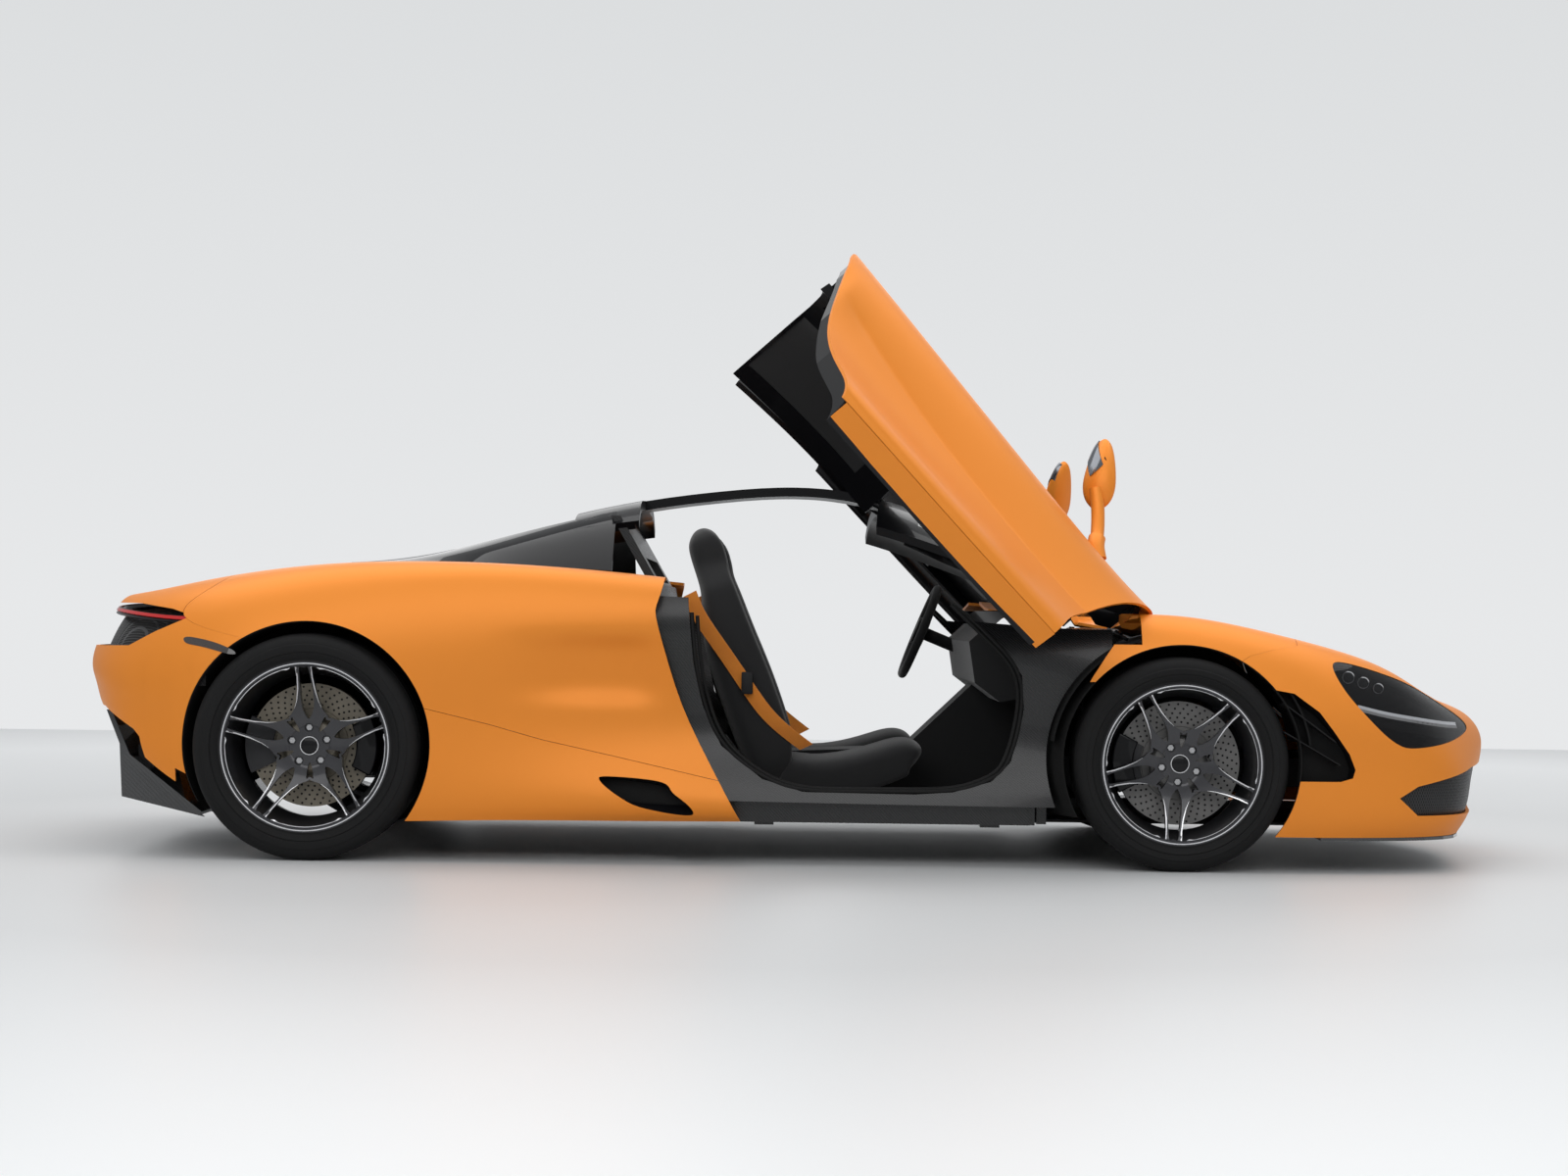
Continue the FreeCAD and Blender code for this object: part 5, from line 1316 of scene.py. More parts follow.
@dataclass
class Lamps:
    """Headlights, tail strips, side markers, the dark hollows of the vents, and meshes whose holes hold
    painted shade.
    """

    bowl: float = .030

    def fitted(self, piece: bpy.types.Object, look: Look, slot: str, *nodes: str) -> None:
        """Gives a left piece its finish and right twin and fits both."""
        fit(dress(both(smooth(piece)), look), "chassis", slot, *nodes)

    def headlights(self) -> None:
        """Deep black bowls with a light strip, three projectors and a dark lens."""
        us, vs = Span(.6, 4.2, 90), Span(1.8, 5.2, 70)
        bowl = walled(sheet("lamp_bowl", BODY, us, vs, depth=self.bowl), .003)
        self.fitted(cut(bowl, eye_cutter(.004), keep="INTERSECT"), Look.GLOSS, "lamp", "headlights")
        self.fitted(reveal("lamp_wall", rounded(EYE), .0012, self.bowl + .002), Look.GLOSS, "lamp")
        line = smooth_line([(1.712, .512), (1.80, .492), (1.90, .476), (2.00, .462), (2.075, .455)], 6)
        self.fitted(strip("lamp_strip", line, .010, .006), Look.LAMP, "lamp")
        bezel, ledge = ([(x, z - drop) for x, z in line] for drop in (.0095, .030))
        self.fitted(strip("lamp_bezel", bezel, .009, .005), Look.EDGE, "lamp")
        self.fitted(strip("lamp_ledge", ledge, .030, .014), Look.TRIM, "lamp")
        eyes = []
        for x, z, radius in ((1.690, .598, .019), (1.738, .582, .018), (1.786, .565, .016)):
            middle = BODY.beside([(x, z)], .022)[0]
            for size, proud, look in ((radius, .002, Look.EDGE), (radius * .86, .004, Look.SCREEN)):
                eye = drum(x, z, size, middle[1] - .004, middle[1] + proud, "projector", 32)
                eyes.append(dress(smooth(eye, 30), look))
        fit(both(joined(*eyes)), "chassis", "lamp")
        lens = walled(sheet("lamp_lens", BODY, us, vs, depth=.0012), .002)
        self.fitted(cut(lens, eye_cutter(-.001), keep="INTERSECT"), Look.LENS, "glass")

    def vents(self) -> None:
        """The corner vents' floors, walls and fins, and the mesh behind the lower intake."""
        floor = walled(sheet("vent_floor", BODY, Span(1.2, 4.4, 70), Span(.6, 3.4, 50), depth=.055), .003)
        cut(floor, prism(grown(CORNER_VENT, .006), Plane.SIDE, .4, BEYOND), keep="INTERSECT")
        self.fitted(cut(floor, arch_cutter(FRONT)), Look.LINER, "black_plastic")
        corner = [p for p in CORNER_VENT if p[0] > 1.45]
        wall = ribbon("vent_wall", BODY.beside(corner, .001), BODY.beside(corner, .056), .0015)
        self.fitted(wall, Look.GLOSS, "black_gloss")
        ends = [((1.475, .520), (1.640, .400)), ((1.478, .430), (1.655, .330))]
        for k, (rear, front) in enumerate(ends):
            line = np.linspace(rear, front, 9)
            fin = ribbon(f"vent_fin_{k}", BODY.beside(line, .010), BODY.beside(line, .052), .003)
            self.fitted(fin, Look.TRIM, "black_plastic")
        mesh = over_the_middle(sheet("nose_mesh", BODY, Span(0, 2.9, 80), Span(.4, 3.2, 40), depth=.014))
        plan = prism(grown(NOSE_INTAKE, .008), Plane.SIDE, -CENTRE, BEYOND)
        whole = joined(plan, copied(plan, "twin", MIRROR))
        cut(walled(mesh, .002), whole, keep="INTERSECT")
        fit(dress(smooth(mesh), Look.MESH), "chassis", "black_plastic")

    def tail(self) -> None:
        """The red strips over black mesh, the ledge below them and the smoked side markers."""
        mesh = over_the_middle(sheet("tail_mesh", BODY, Span(11.9, 15, 90), Span(2.6, 4.05, 44), depth=.040))
        fit(dress(smooth(walled(mesh, .002)), Look.MESH), "chassis", "black_plastic", "tail_lights")
        path = [(12.08, 3.62), (12.4, 3.69), (12.9, 3.77), (13.6, 3.83), (14.4, 3.86), (15, 3.87)]
        self.fitted(laid("tail_strip", BODY, path, .011, .004, .004), Look.TAIL, "lamp_red")
        path = [(12.06, 3.61), (12.4, 3.68), (12.9, 3.76), (13.6, 3.82), (15, 3.86)]
        base = laid("tail_strip_base", BODY, path, .024, .009, .006)
        self.fitted(base, Look.GLOSS, "black_gloss")
        ledge = laid("tail_ledge", BODY, [(12.7, 2.97), (13.6, 2.97), (15, 2.97)], .022, .004, .006)
        self.fitted(ledge, Look.TRIM, "black_plastic")
        marker = walled(sheet("side_marker", BODY, Span(10.9, 12.6, 60), Span(2.6, 3.8, 30), -.0012), .004)
        cut(marker, prism(rounded(SIDE_MARKER, 4), Plane.SIDE, .4, BEYOND), keep="INTERSECT")
        self.fitted(marker, Look.SMOKED, "glass")

    def build(self) -> None:
        """Makes them all."""
        self.headlights()
        self.vents()
        self.tail()


@dataclass
class Wheels:
    """Rims with five split spokes, tyres, brake rotors and callipers at the four corners."""

    spokes: int = 5
    bore: float = .030
    bolt_circle: float = .056
    edge: float = .0050

    @property
    def half_pitch(self) -> float:
        """Half the angle from one spoke to the next, in degrees."""
        return 180 / self.spokes

    def polar(self, axle: Axle, spoke: int, points: Sequence[Flat], offset: float = 0.0) -> list[Flat]:
        """Places points along one spoke's direction.

        Args:
            axle: The wheel's axle.
            spoke: The spoke's number.
            points: Points of (radius, sideways).
            offset: Degrees on from the spoke.

        Returns:
            The points as (x, z).
        """
        angle = math.radians(axle.slot + 2 * self.half_pitch * spoke + offset)
        c, s = math.cos(angle), math.sin(angle)
        return [(axle.x + r * c - w * s, axle.radius + r * s + w * c) for r, w in points]

    def face(self, axle: Axle, r: float) -> float:
        """How far the spoke face lies outboard of the wheel's middle at a radius."""
        outer = axle.width / 2 - .020
        share = min(max((r - .070) / (axle.rim - .012 - .070), 0), 1)
        return .050 + (outer - .050) * share ** 1.7

    def window_points(self, axle: Axle) -> list[Flat]:
        """The large opening between two spokes, as (radius, sideways)."""
        rim = axle.rim
        reach, mid, aside = .955 * rim, .55 * rim, .0335
        pitch = math.radians(self.half_pitch)
        half = pitch - math.asin(.0250 / reach)
        arc = [(reach * math.cos(t), reach * math.sin(t)) for t in np.linspace(-half, half, 15)]
        across = mid * math.sin(pitch) - aside * math.cos(pitch)
        along = mid * math.cos(pitch) + aside * math.sin(pitch)
        notch = [(.43 * rim, .010), (.405 * rim, 0), (.43 * rim, -.010)]
        return [*arc, (along, across), *notch, (along, -across)]

    def slot_points(self, axle: Axle) -> list[Flat]:
        """The slot in a spoke."""
        rim = axle.rim
        half = [(.945, .0140), (.80, .0175), (.62, .0200), (.47, .0180), (.38, .0105), (.33, .0030)]
        left = [(r * rim, w) for r, w in half]
        return [*left[::-1], (.957 * rim, .006), (.957 * rim, -.006), *((r, -w) for r, w in left)]

    def rim(self, axle: Axle, side: str) -> None:
        """One wheel: barrel, dished face, openings, bolts, cap and machined edges."""
        half = axle.width / 2
        seat = axle.rim
        name = f"{axle.name}_{side}"
        outer = [(0, .014), (.012, .015), (.014, .018), (.013, .021), (-.002, .024), (-.004, .05)]
        inner = [(-.018, .03), (.012, .02), (.012, .015), (-.008, .014), (-.026, .04)]
        shut = [(-.012, .05), (-.010, .020), (-.006, .015)]
        barrel = lathe("wheel_" + name, [
            *((seat + r, half - y) for r, y in outer), (seat - .028, 0),
            *((seat + r, y - half) for r, y in inner), (seat - .036, 0),
            *((seat + r, half - y) for r, y in shut)], axle)
        radii = np.linspace(.072, seat - .006, 14)
        front = [(r, self.face(axle, r)) for r in radii]
        back = [(r, self.face(axle, r) - .026 - .012 * (1 - r / seat)) for r in radii[::-1]]
        plate = lathe("plate", [(self.bore, .046), (.060, .046), (.064, .049), *front, *back, (.066, .020),
                                (self.bore, .020)], axle)
        openings = []
        low, high = axle.half_track - .2, axle.half_track + .2
        for k in range(self.spokes):
            small = [(.385 * seat, .011), (.375 * seat, .0), (.385 * seat, -.011), (.20 * seat, 0)]
            for outline, offset in ((rounded(self.window_points(axle), 3), self.half_pitch),
                                    (rounded(self.slot_points(axle), 3), 0.0),
                                    (rounded(small, 4), self.half_pitch)):
                openings.append(prism(self.polar(axle, k, outline, offset), Plane.SIDE, low, high))
            x, z = self.polar(axle, k, [(self.bolt_circle, 0)])[0]
            openings.append(drum(x, z, .014, axle.half_track + .034, high, steps=32))
        cut(plate, joined(*openings))
        smooth(plate, 30)
        dress(plate, Look.WHEEL)
        dress(smooth(barrel, 30), Look.WHEEL)
        bright = [self.trim(axle, k) for k in range(self.spokes)]
        bolts = []
        for k in range(self.spokes):
            x, z = self.polar(axle, k, [(self.bolt_circle, 0)])[0]
            bolt = drum(x, z, .0095, axle.half_track + .030, axle.half_track + .043, "bolt", 6)
            bolts.append(smooth(bolt, 20))
        dome = [(.0001, .056), (.018, .0555), (.0245, .053), (.026, .046), (.0001, .046)]
        cap = lathe("cap", dome, axle, 48)
        band = [(.0262, .0525), (.0285, .0525), (.0285, .046), (.0262, .046)]
        ring = lathe("cap_ring", band, axle, 48)
        lip = lathe("lip_ring", [(seat - .0012, half - .0128), (seat + .0020, half - .0128),
                                 (seat + .0020, half - .0150), (seat - .0012, half - .0150)], axle)
        for item in (*bright, ring, lip):
            dress(smooth(item), Look.EDGE)
        for item in bolts:
            dress(item, Look.BOLT)
        dress(smooth(cap), Look.GLOSS)
        whole = joined(barrel, plate, *bright, *bolts, cap, ring, lip)
        if side == "right":
            moved(whole, MIRROR)
        fit(whole, "wheel_" + name, "rim_grey", "rim_" + name)

    def trim(self, axle: Axle, spoke: int) -> bpy.types.Object:
        """The machined line round the outer part of one large opening."""
        outline = np.array(rounded(self.window_points(axle), 3))
        middle = np.array([.72 * axle.rim, 0.0])
        radius = np.hypot(outline[:, 0], outline[:, 1])
        start = int(np.argmin(radius))
        outline = np.roll(outline, -start, axis=0)
        radius = np.roll(radius, -start)
        kept = outline[radius > .47 * axle.rim]
        outward = kept - middle
        outward /= np.linalg.norm(outward, axis=1)[:, None]
        fade = np.clip((np.hypot(kept[:, 0], kept[:, 1]) / axle.rim - .47) / .3, .12, 1)[:, None]
        far = kept + outward * self.edge * fade
        lines = []
        for points in (kept, far):
            flat = self.polar(axle, spoke, [tuple(p) for p in points], self.half_pitch)
            proud = axle.half_track + .0008
            lines.append([(x, proud + self.face(axle, math.hypot(x - axle.x, z - axle.radius)), z)
                          for x, z in flat])
        return ribbon("machined", lines[0], lines[1], .0015)

    def tyre(self, axle: Axle, side: str) -> None:
        """One tyre with circumferential grooves, rounded shoulders and ringed sidewalls."""
        half, r, bead = axle.width / 2, axle.radius, axle.rim + .0003
        outer = [(bead, half - .022), (bead + .006, half - .0145), (bead + .012, half - .0145),
                 (bead + .016, half - .010), (bead + .030, half - .003), (bead + .033, half - .0045),
                 (bead + .036, half - .0015), (bead + .050, half), (r - .034, half - .0008),
                 (r - .032, half - .0026), (r - .029, half - .0030), (r - .022, half - .0045),
                 (r - .012, half - .011), (r - .005, half - .020), (r - .0008, half - .034)]
        grooves = []
        for y in np.linspace(half - .055, -half + .055, 4):
            grooves += [(r, y + .006), (r - .007, y + .0045), (r - .007, y - .0045), (r, y - .006)]
        inner = [(a, -b) for a, b in outer[::-1]]
        bore = [(bead + .008, -half + .034), (r - .014, -half + .040), (r - .014, half - .040),
                (bead + .008, half - .034)]
        piece = lathe(f"tyre_skin_{axle.name}_{side}", [*outer, *grooves, *inner, *bore], axle, 144)
        dress(smooth(piece, 30), Look.TREAD)
        if side == "right":
            moved(piece, MIRROR)
        fit(piece, f"wheel_{axle.name}_{side}", "tyre", f"tyre_{axle.name}_{side}")

    def disc(self, axle: Axle, side: str) -> None:
        """One rotor with its hat."""
        piece = lathe(f"rotor_{axle.name}_{side}", [
            (.0303, .028), (.074, .028), (.080, .025), (.088, .018), (.090, -.004), (.112, -.004),
            (.114, -.002), (axle.rotor, -.002), (axle.rotor, -.034), (.078, -.034), (.078, .014),
            (.0303, .014)], axle)
        dress(smooth(piece, 30), Look.FRONT_ROTOR if axle is FRONT else Look.REAR_ROTOR)
        if side == "right":
            moved(piece, MIRROR)
        fit(piece, f"wheel_{axle.name}_{side}", "disc", f"disc_{axle.name}_{side}")

    def calliper(self, axle: Axle, side: str) -> None:
        """One brake calliper, behind a front axle's line or ahead of a rear one's."""
        middle = 180.0 if axle is FRONT else 0.0
        turns = [math.radians(middle + t) for t in np.linspace(-27, 27, 19)]
        outline = [(axle.x + reach * math.cos(t), axle.radius + reach * math.sin(t))
                   for reach, order in ((.206, turns), (.140, turns[::-1])) for t in order]
        block = prism(outline, Plane.SIDE, axle.half_track + .004, axle.half_track + .028,
                      f"calliper_{axle.name}_{side}")
        apply(block, "BEVEL", width=.006, segments=3, limit_method="ANGLE", angle_limit=math.radians(50))
        dress(smooth(block), Look.GLOSS)
        if side == "right":
            moved(block, MIRROR)
        fit(block, f"knuckle_{side}" if axle is FRONT else "chassis", "black_gloss")

    def build(self) -> None:
        """Makes all four wheels."""
        for axle in (FRONT, REAR):
            for side in ("left", "right"):
                self.rim(axle, side)
                self.tyre(axle, side)
                self.disc(axle, side)
                self.calliper(axle, side)


@dataclass
class Doors:
    """The two doors: skins, glass, linings and mirrors, built shut on the left and then swung open."""

    lower: Point = (.950, .731, .743)
    upper: Point = (.220, .161, 1.155)
    swing: float = 70.0

    def opened(self) -> Matrix:
        """The turn from shut to fully open, on the left."""
        low, high = Vector(self.lower), Vector(self.upper)
        turn = Matrix.Rotation(math.radians(-self.swing), 4, (high - low).normalized())
        return Matrix.Translation(low) @ turn @ Matrix.Translation(-low)

    def outline(self, inset: float) -> bpy.types.Object:
        """The shut door seen from the side, drawn across its depth."""
        rear = smooth_line([(x + inset, z) for x, z in DOOR_REAR], 3)
        front = smooth_line([(x - inset, z) for x, z in DOOR_FRONT], 3)
        return prism([*rear, *front[::-1]], Plane.SIDE, CENTRE, BEYOND)

    def fitted(self, piece: bpy.types.Object, slot: str, *stems: str) -> None:
        """Swings a left piece open, makes its right twin and fits both."""
        moved(piece, self.opened())
        for side, item in (("left", piece), ("right", copied(piece, piece.name + "_right", MIRROR))):
            fit(item, "door_" + side, slot, *(f"{stem}_{side}" for stem in stems))

    def skin(self) -> None:
        """The painted outer skin."""
        shell = walled(sheet("door_skin", BODY, Span(5.5, 9, 150), Span(.22, 4.64, 130)), PANEL)
        cut(shell, self.outline(0), keep="INTERSECT")
        inside = [(.600, .300), (.905, .698), (1.045, .807), (1.200, .927), (1.200, .300)]
        cut(shell, arch_cutter(FRONT), prism(inside, Plane.PLAN, -.05, 1.3))
        self.fitted(dress(smooth(shell), Look.PAINT), "orange_paint", "door_panel")
        u, v = np.linspace(6.27, 8.24, 60), np.full(60, .205)
        edge, inward = BODY.points(u, v), BODY.normals(u, v)
        lower = ribbon("door_return", edge - inward * .001, edge + np.array([0, -.078, -.002]), .002)
        self.fitted(dress(smooth(lower), Look.PAINT), "orange_paint")

    def glass(self) -> None:
        """The side window and the roof pane."""
        side = sheet("door_pane", CABIN, Span(1.30, 4.30, 60), Span(.25, 1.35, 24), depth=.004)
        roof = sheet("roof_pane", CABIN, Span(2.75, 4.35, 40), Span(1.95, 3.25, 24), depth=.004)
        panes = joined(walled(side, .004), walled(roof, .004))
        self.fitted(dress(smooth(panes), Look.GLASS), "glass", "door_glass")

    def lining(self) -> None:
        """The padded suede lining below the roof pane, and the card on the door's inner side."""
        def swell(a: np.ndarray, b: np.ndarray) -> np.ndarray:
            """How far the pad's edges fall away from its middle."""
            return .004 * (a ** 4 + b ** 4) - .004

        pad = sheet("roof_lining", CABIN, Span(2.72, 4.38, 60), Span(1.92, 3.28, 40), .018, swell)
        self.fitted(dress(smooth(walled(pad, .008)), Look.SUEDE), "leather")
        trim = walled(sheet("door_card", BODY, Span(6.95, 8.35, 60), Span(1.2, 3.4, 50), depth=.0765), .003)
        level = coordinates(trim)
        level[:, 1] += side_relief(level)
        reshape(trim, level)
        cut(trim, prism(grown(DOOR_RING, -.050), Plane.SIDE, .4, BEYOND), keep="INTERSECT")
        self.fitted(dress(smooth(trim), Look.SUEDE), "leather")

    def mirror(self) -> None:
        """The mirror: a wedge-shaped housing on a slim curved stalk, with its glass."""
        deselect()
        bpy.ops.mesh.primitive_uv_sphere_add(segments=48, ring_count=32, radius=1)
        shell = named("mirror_housing")
        p = coordinates(shell)
        p = np.sign(p) * np.abs(p) ** .8
        taper = (1 - .42 * eased(p[:, 2], -.9, 1.0))[:, None] ** np.array([1, .6, 0])
        p = p * np.array([.052, .056, .078]) * taper
        p += np.array([.602, .950, 1.000]) + np.outer(p[:, 2], [-.75, .55, 0])
        reshape(shell, p)
        dress(smooth(shell, 40), Look.PAINT)
        path = [(.742, .874, .790), (.712, .888, .850), (.668, .910, .905), (.622, .930, .945)]
        stalk = dress(smooth(tube("mirror_stalk", path, .021, 20)), Look.PAINT)
        foot = tube("mirror_foot", [(.772, .866, .760), (.742, .874, .790), (.728, .880, .822)], .027, 20)
        dress(smooth(foot), Look.PAINT)
        pane = copied(shell, "mirror_pane", Matrix.Translation((-.004, 0, 0)))
        cut(pane, slab((.40, .935, .80), (.582, .985, 1.20)), keep="INTERSECT")
        dress(pane, Look.MIRROR)
        dot = dress(smooth(drum(.580, 1.010, .010, .985, .996, "mirror_lamp", 24)), Look.GLOSS)
        self.fitted(joined(shell, pane, dot, stalk, foot), "orange_paint")

    def build(self) -> None:
        """Makes both doors' pieces."""
        self.skin()
        self.glass()
        self.lining()
        self.mirror()
        for side in ("left", "right"):
            dress(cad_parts[f"door_frame_{side}"], Look.GLOSS)


@dataclass
class Greenhouse:
    """The fixed roof members, glass, screen foot and door seals."""

    seal_depth: float = .088

    def build(self) -> None:
        """Makes the glass and finishes the roof."""
        screen = over_the_middle(sheet("screen_pane", CABIN, Span(0, 1.93, 60), Span(1.97, 4, 40), .003))
        fit(dress(smooth(walled(screen, .005)), Look.GLASS), "chassis", "glass", "windscreen")
        dress(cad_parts["roof"], Look.GLOSS)
        # the quarter glass is partly real tint and partly painted shade of the hollow behind it
        pane = walled(sheet("quarter_pane", CABIN, Span(5.05, 8.0, 60), Span(.15, 2.0, 30)), .005)
        cut(pane, ahead(smooth_line(DOOR_REAR, 3), -GAP))
        fit(dress(smooth(both(pane)), Look.DARK_GLASS), "chassis", "glass", "quarter_glass")
        self.scuttle()
        self.seals()

    def scuttle(self) -> None:
        """The black panel at the screen's foot, and two wipers parked on it."""
        plate = over_the_middle(sheet("scuttle", BODY, Span(5.2, 5.75, 24), Span(4.9, 7, 50), .050))
        walled(plate, .004)
        foot = slab((1.020, -CENTRE, .6), (1.104, .560, .9))
        cut(plate, joined(foot, copied(foot, "twin", MIRROR)), keep="INTERSECT")
        fit(dress(smooth(plate), Look.TRIM), "chassis", "black_plastic")
        arms = []
        for k, y in enumerate((.42, .02)):
            path = [(1.085, y, .786), (1.078, y - .12, .792), (1.060, y - .40, .793)]
            arms.append(tube(f"wiper_{k}", path, .006, 10))
        fit(dress(smooth(joined(*arms)), Look.TRIM), "chassis", "black_plastic")

    def seals(self) -> None:
        """Rubber seals round the door opening's lower edge."""
        for inset, radius, name in ((0.0, .007, "outer_seal"), (.020, .006, "inner_seal")):
            path = BODY.beside(grown(DOOR_RING, -inset)) - np.array([0, self.seal_depth, 0])
            seal = tube(name, path, radius, 10)
            fit(dress(both(smooth(seal, 50)), Look.SEAL), "chassis", "black_plastic")


# stations of the seats' side lines: (x, z, half depth)
SEAT_BACK = [(-.055, .215, .060), (-.105, .330, .075), (-.175, .520, .078), (-.235, .690, .070),
             (-.262, .820, .052), (-.286, .900, .046), (-.306, .985, .052), (-.326, 1.040, .030)]
SEAT_BASE = [(-.070, .275, .060), (.060, .258, .058), (.220, .285, .056), (.340, .325, .050),
             (.395, .315, .030)]


@dataclass
class Cabin:
    """Seats, belts, steering wheel and trim."""

    middle: float = .380
    half: float = .205

    def bucket(self, name: str, line: Sequence[Point], narrow: Sequence[Flat]) -> bpy.types.Object:
        """A bolstered cushion along a side line of (x, z, half depth).

        Args:
            name: The cushion's name.
            line: Its stations, from one end to the other.
            narrow: (place along the line, share of the full width) pairs.

        Returns:
            The cushion, closed, with raised side bolsters and a sunken middle.
        """
        deselect()
        bpy.ops.mesh.primitive_uv_sphere_add(segments=64, ring_count=48, radius=1)
        piece = named(name)
        unit = coordinates(piece)
        spine = Spline(np.array(line))
        t = (np.sign(unit[:, 2]) * np.abs(unit[:, 2]) ** .72 + 1) / 2
        station = spine.along(t * (len(line) - 1))
        last, step = len(line) - 1, .02
        along = (spine.along(np.clip(t * last + step, 0, last))
                 - spine.along(np.clip(t * last - step, 0, last)))
        length = np.hypot(along[:, 0], along[:, 1])
        forward = np.stack([along[:, 1], -along[:, 0]], axis=1) / length[:, None]
        across = np.sqrt(np.maximum(1 - unit[:, 2] ** 2, 1e-9))
        a, b = unit[:, 0] / across, unit[:, 1] / across
        close = (1 - np.abs(unit[:, 2]) ** 9) ** .5
        a = np.sign(a) * np.abs(a) ** .7 * close
        b = np.sign(b) * np.abs(b) ** .55 * close
        width = self.half * np.interp(t, [p for p, _ in narrow], [w for _, w in narrow])
        bolster = .85 * np.abs(b) ** 3 * np.interp(t, [0, .15, .75, 1], [.5, 1, 1, .2])
        quilt = .05 * np.cos(b * math.pi * 3.0) * (np.abs(b) < .7)
        reach = station[:, 2] * (a + (a > 0) * (bolster - quilt))
        places = np.stack([station[:, 0] + forward[:, 0] * reach, self.middle + b * width,
                           station[:, 1] + forward[:, 1] * reach], axis=1)
        return tidy_normals(reshape(piece, places))

    def seats(self) -> None:
        """Two bucket seats in black suede."""
        narrow = [(0, 1), (.45, 1), (.62, .92), (.76, .62), (.9, .58), (1, .50)]
        back = self.bucket("seat_back", SEAT_BACK, narrow)
        base = self.bucket("seat_base", SEAT_BASE, [(0, 1), (.6, 1), (1, .92)])
        for cushion in (back, base):
            apply(cushion, "SUBSURF", levels=1)
        for cushion, nodes in ((back, ("seats",)), (base, ())):
            dress(smooth(cushion, 80), Look.SUEDE)
            twin = copied(cushion, cushion.name + "_right", MIRROR)
            fit(cushion, "chassis", "leather", *nodes)
            fit(twin, "chassis", "leather", *nodes)

    def belts(self) -> None:
        """Belts from the shoulder down over each seat to its buckle."""
        path = [(-.345, .590, .830), (-.310, .598, .755), (-.240, .603, .655), (-.170, .606, .555),
                (-.100, .607, .460), (-.030, .602, .395), (.030, .590, .350)]
        spine = smooth_line(path, 6)
        strap = ribbon("belt", [(x - .020, y - .014, z - .010) for x, y, z in spine],
                       [(x + .020, y + .010, z + .010) for x, y, z in spine], .002)
        dress(smooth(strap), Look.BELT)
        buckle = slab((-.178, .600, .515), (-.142, .622, .585), "buckle")
        apply(buckle, "BEVEL", width=.004, segments=2)
        dress(smooth(buckle), Look.TRIM)
        fit(both(joined(strap, buckle)), "chassis", "leather")

    def build(self) -> None:
        """Finishes the cabin."""
        for node, look in (("dashboard", Look.SUEDE), ("tub", Look.SATIN_CARBON),
                           ("steering_wheel", Look.SUEDE)):
            dress(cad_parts[node], look)
        self.seats()
        self.belts()


@dataclass
class Underside:
    """Running gear, liners and the black pieces low down."""

    looks: dict[str, Look] = field(default_factory=lambda: {
        "floor_pan": Look.TRIM, "subframes": Look.DARK_CAST, "engine": Look.CAST,
        "suspension_arms": Look.DARK_CAST, "rear_uprights": Look.DARK_CAST,
        "knuckle_left": Look.DARK_CAST, "knuckle_right": Look.DARK_CAST, "arch_liners": Look.LINER,
        "exhaust": Look.PIPE, "front_splitter": Look.CARBON, "diffuser": Look.CARBON})

    def build(self) -> None:
        """Gives each node its finish."""
        for node, look in self.looks.items():
            dress(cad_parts[node], look)


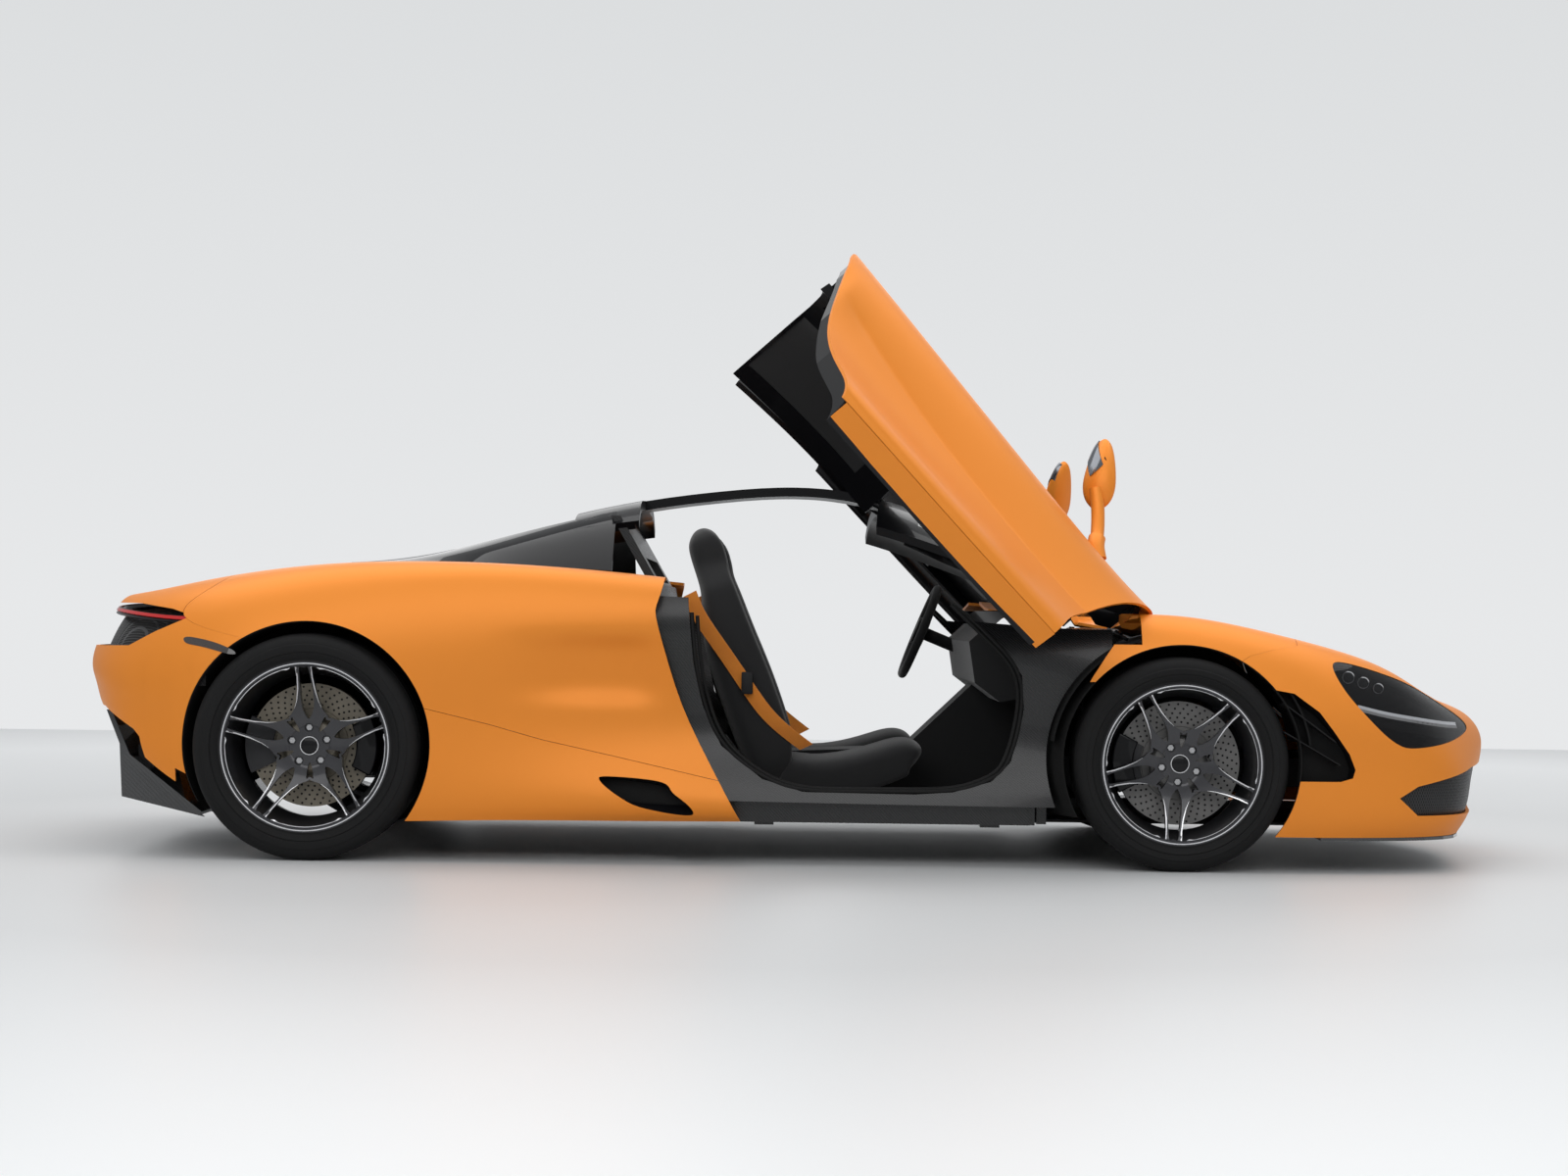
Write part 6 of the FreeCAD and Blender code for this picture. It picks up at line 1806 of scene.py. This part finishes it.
@dataclass
class Studio:
    """The camera, a pale floor and wall, and soft lamps."""

    camera_at: Point = (-.0476, -9.64, .765)
    lens: float = 65.6
    floor: Point = (.62, .63, .635)
    edge: Point = (.94, .95, .955)
    painted_light_radius: float = 3.5

    def camera(self) -> None:
        """Looks along +Y with a slight roll."""
        deselect()
        bpy.ops.object.camera_add(location=self.camera_at)
        eye = bpy.context.active_object
        eye.data.lens = self.lens
        eye.data.sensor_width = 36
        eye.matrix_world = (Matrix.Translation(self.camera_at) @ Matrix.Rotation(math.radians(90.55), 4, "X")
                            @ Matrix.Rotation(.01363, 4, "Z"))
        bpy.context.scene.camera = eye

    def ground(self) -> None:
        """A pale floor with painted light: darker round the car and painted paler away from it, so that it
        ends in the backdrop.
        """
        deselect()
        bpy.ops.mesh.primitive_plane_add(size=16)
        plane = named("studio_floor")
        g = Graph("studio_floor")
        x, y, _ = g.place()
        # painted light: the floor's colour grows paler from this radius out, where the lamps light it less
        away = ((x * x + y * y).math("SQRT") - self.painted_light_radius) / self.painted_light_radius
        tone = (away + g.noise(1.8, 4.0) * .04).held()
        colour = g.mixed(tone, self.floor, self.edge)
        plane.data.materials.append(g.finish(Base_Color=colour, Roughness=.42))

    def lamp(self, name: str, place: Point, aim: Point, width: float, height: float,
             power: float) -> None:
        """Hangs one area lamp.

        Args:
            name: Its name.
            place: Where it hangs.
            aim: The point that it faces.
            width: Its length across.
            height: Its other side.
            power: Its power in watts.
        """
        deselect()
        bpy.ops.object.light_add(type="AREA", location=place)
        lamp = bpy.context.active_object
        lamp.name = name
        lamp.data.shape = "RECTANGLE"
        lamp.data.size, lamp.data.size_y, lamp.data.energy = width, height, power
        lamp.rotation_euler = (Vector(aim) - Vector(place)).to_track_quat("-Z", "Y").to_euler()

    def world(self) -> None:
        """Dim light all round, and a pale backdrop wherever it is looked at."""
        world = bpy.data.worlds.new("studio")
        bpy.context.scene.world = world
        world.use_nodes = True
        tree = world.node_tree
        tree.nodes.clear()
        path = tree.nodes.new("ShaderNodeLightPath")
        output = tree.nodes.new("ShaderNodeOutputWorld")
        seen = tree.nodes.new("ShaderNodeMath")
        seen.operation = "MAXIMUM"
        tree.links.new(path.outputs["Is Camera Ray"], seen.inputs[0])
        tree.links.new(path.outputs["Is Transmission Ray"], seen.inputs[1])
        mix = tree.nodes.new("ShaderNodeMixShader")
        tree.links.new(seen.outputs[0], mix.inputs[0])
        skies = [((.40, .41, .42, 1), (.54, .55, .56, 1)), ((.80, .81, .82, 1), (.62, .64, .65, 1))]
        for socket, (low, high) in enumerate(skies, start=1):
            tree.links.new(self.sky(tree, low, high), mix.inputs[socket])
        tree.links.new(mix.outputs[0], output.inputs[0])

    def sky(self, tree: bpy.types.NodeTree, low: Colour, high: Colour) -> bpy.types.NodeSocket:
        """Adds a background that changes with height.

        Args:
            tree: The world's nodes.
            low: The colour at the horizon and below.
            high: The colour overhead.

        Returns:
            The background's socket.
        """
        coordinate = tree.nodes.new("ShaderNodeTexCoord")
        parts = tree.nodes.new("ShaderNodeSeparateXYZ")
        ramp = tree.nodes.new("ShaderNodeValToRGB")
        background = tree.nodes.new("ShaderNodeBackground")
        ramp.color_ramp.elements[0].position = 0.0
        ramp.color_ramp.elements[0].color = low
        ramp.color_ramp.elements[1].position = .45
        ramp.color_ramp.elements[1].color = high
        tree.links.new(coordinate.outputs["Generated"], parts.inputs[0])
        tree.links.new(parts.outputs[2], ramp.inputs[0])
        tree.links.new(ramp.outputs[0], background.inputs[0])
        return background.outputs[0]

    def build(self) -> None:
        """Sets up the studio."""
        bpy.context.scene.view_settings.view_transform = "Standard"
        self.camera()
        self.ground()
        self.world()
        self.lamp("overhead", (0, 0, 5.5), (0, 0, 0), 11, 5, 270)
        self.lamp("near_side", (-.5, -7.5, 4.6), (0, 0, .6), 10, 4.0, 200)
        self.lamp("far_side", (.5, 7.5, 4.6), (0, 0, .6), 10, 4.0, 120)


def main() -> None:
    """Builds the car piece by piece and then the studio."""
    logging.basicConfig(level=logging.INFO, format="%(message)s", stream=sys.stdout)
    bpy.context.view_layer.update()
    for assembly in (BodyShell(), Lamps(), Doors(), Greenhouse(), Wheels(), Cabin(), Underside(), Studio()):
        log.info("building %s", type(assembly).__name__)
        assembly.build()


if __name__ == "__main__":
    main()
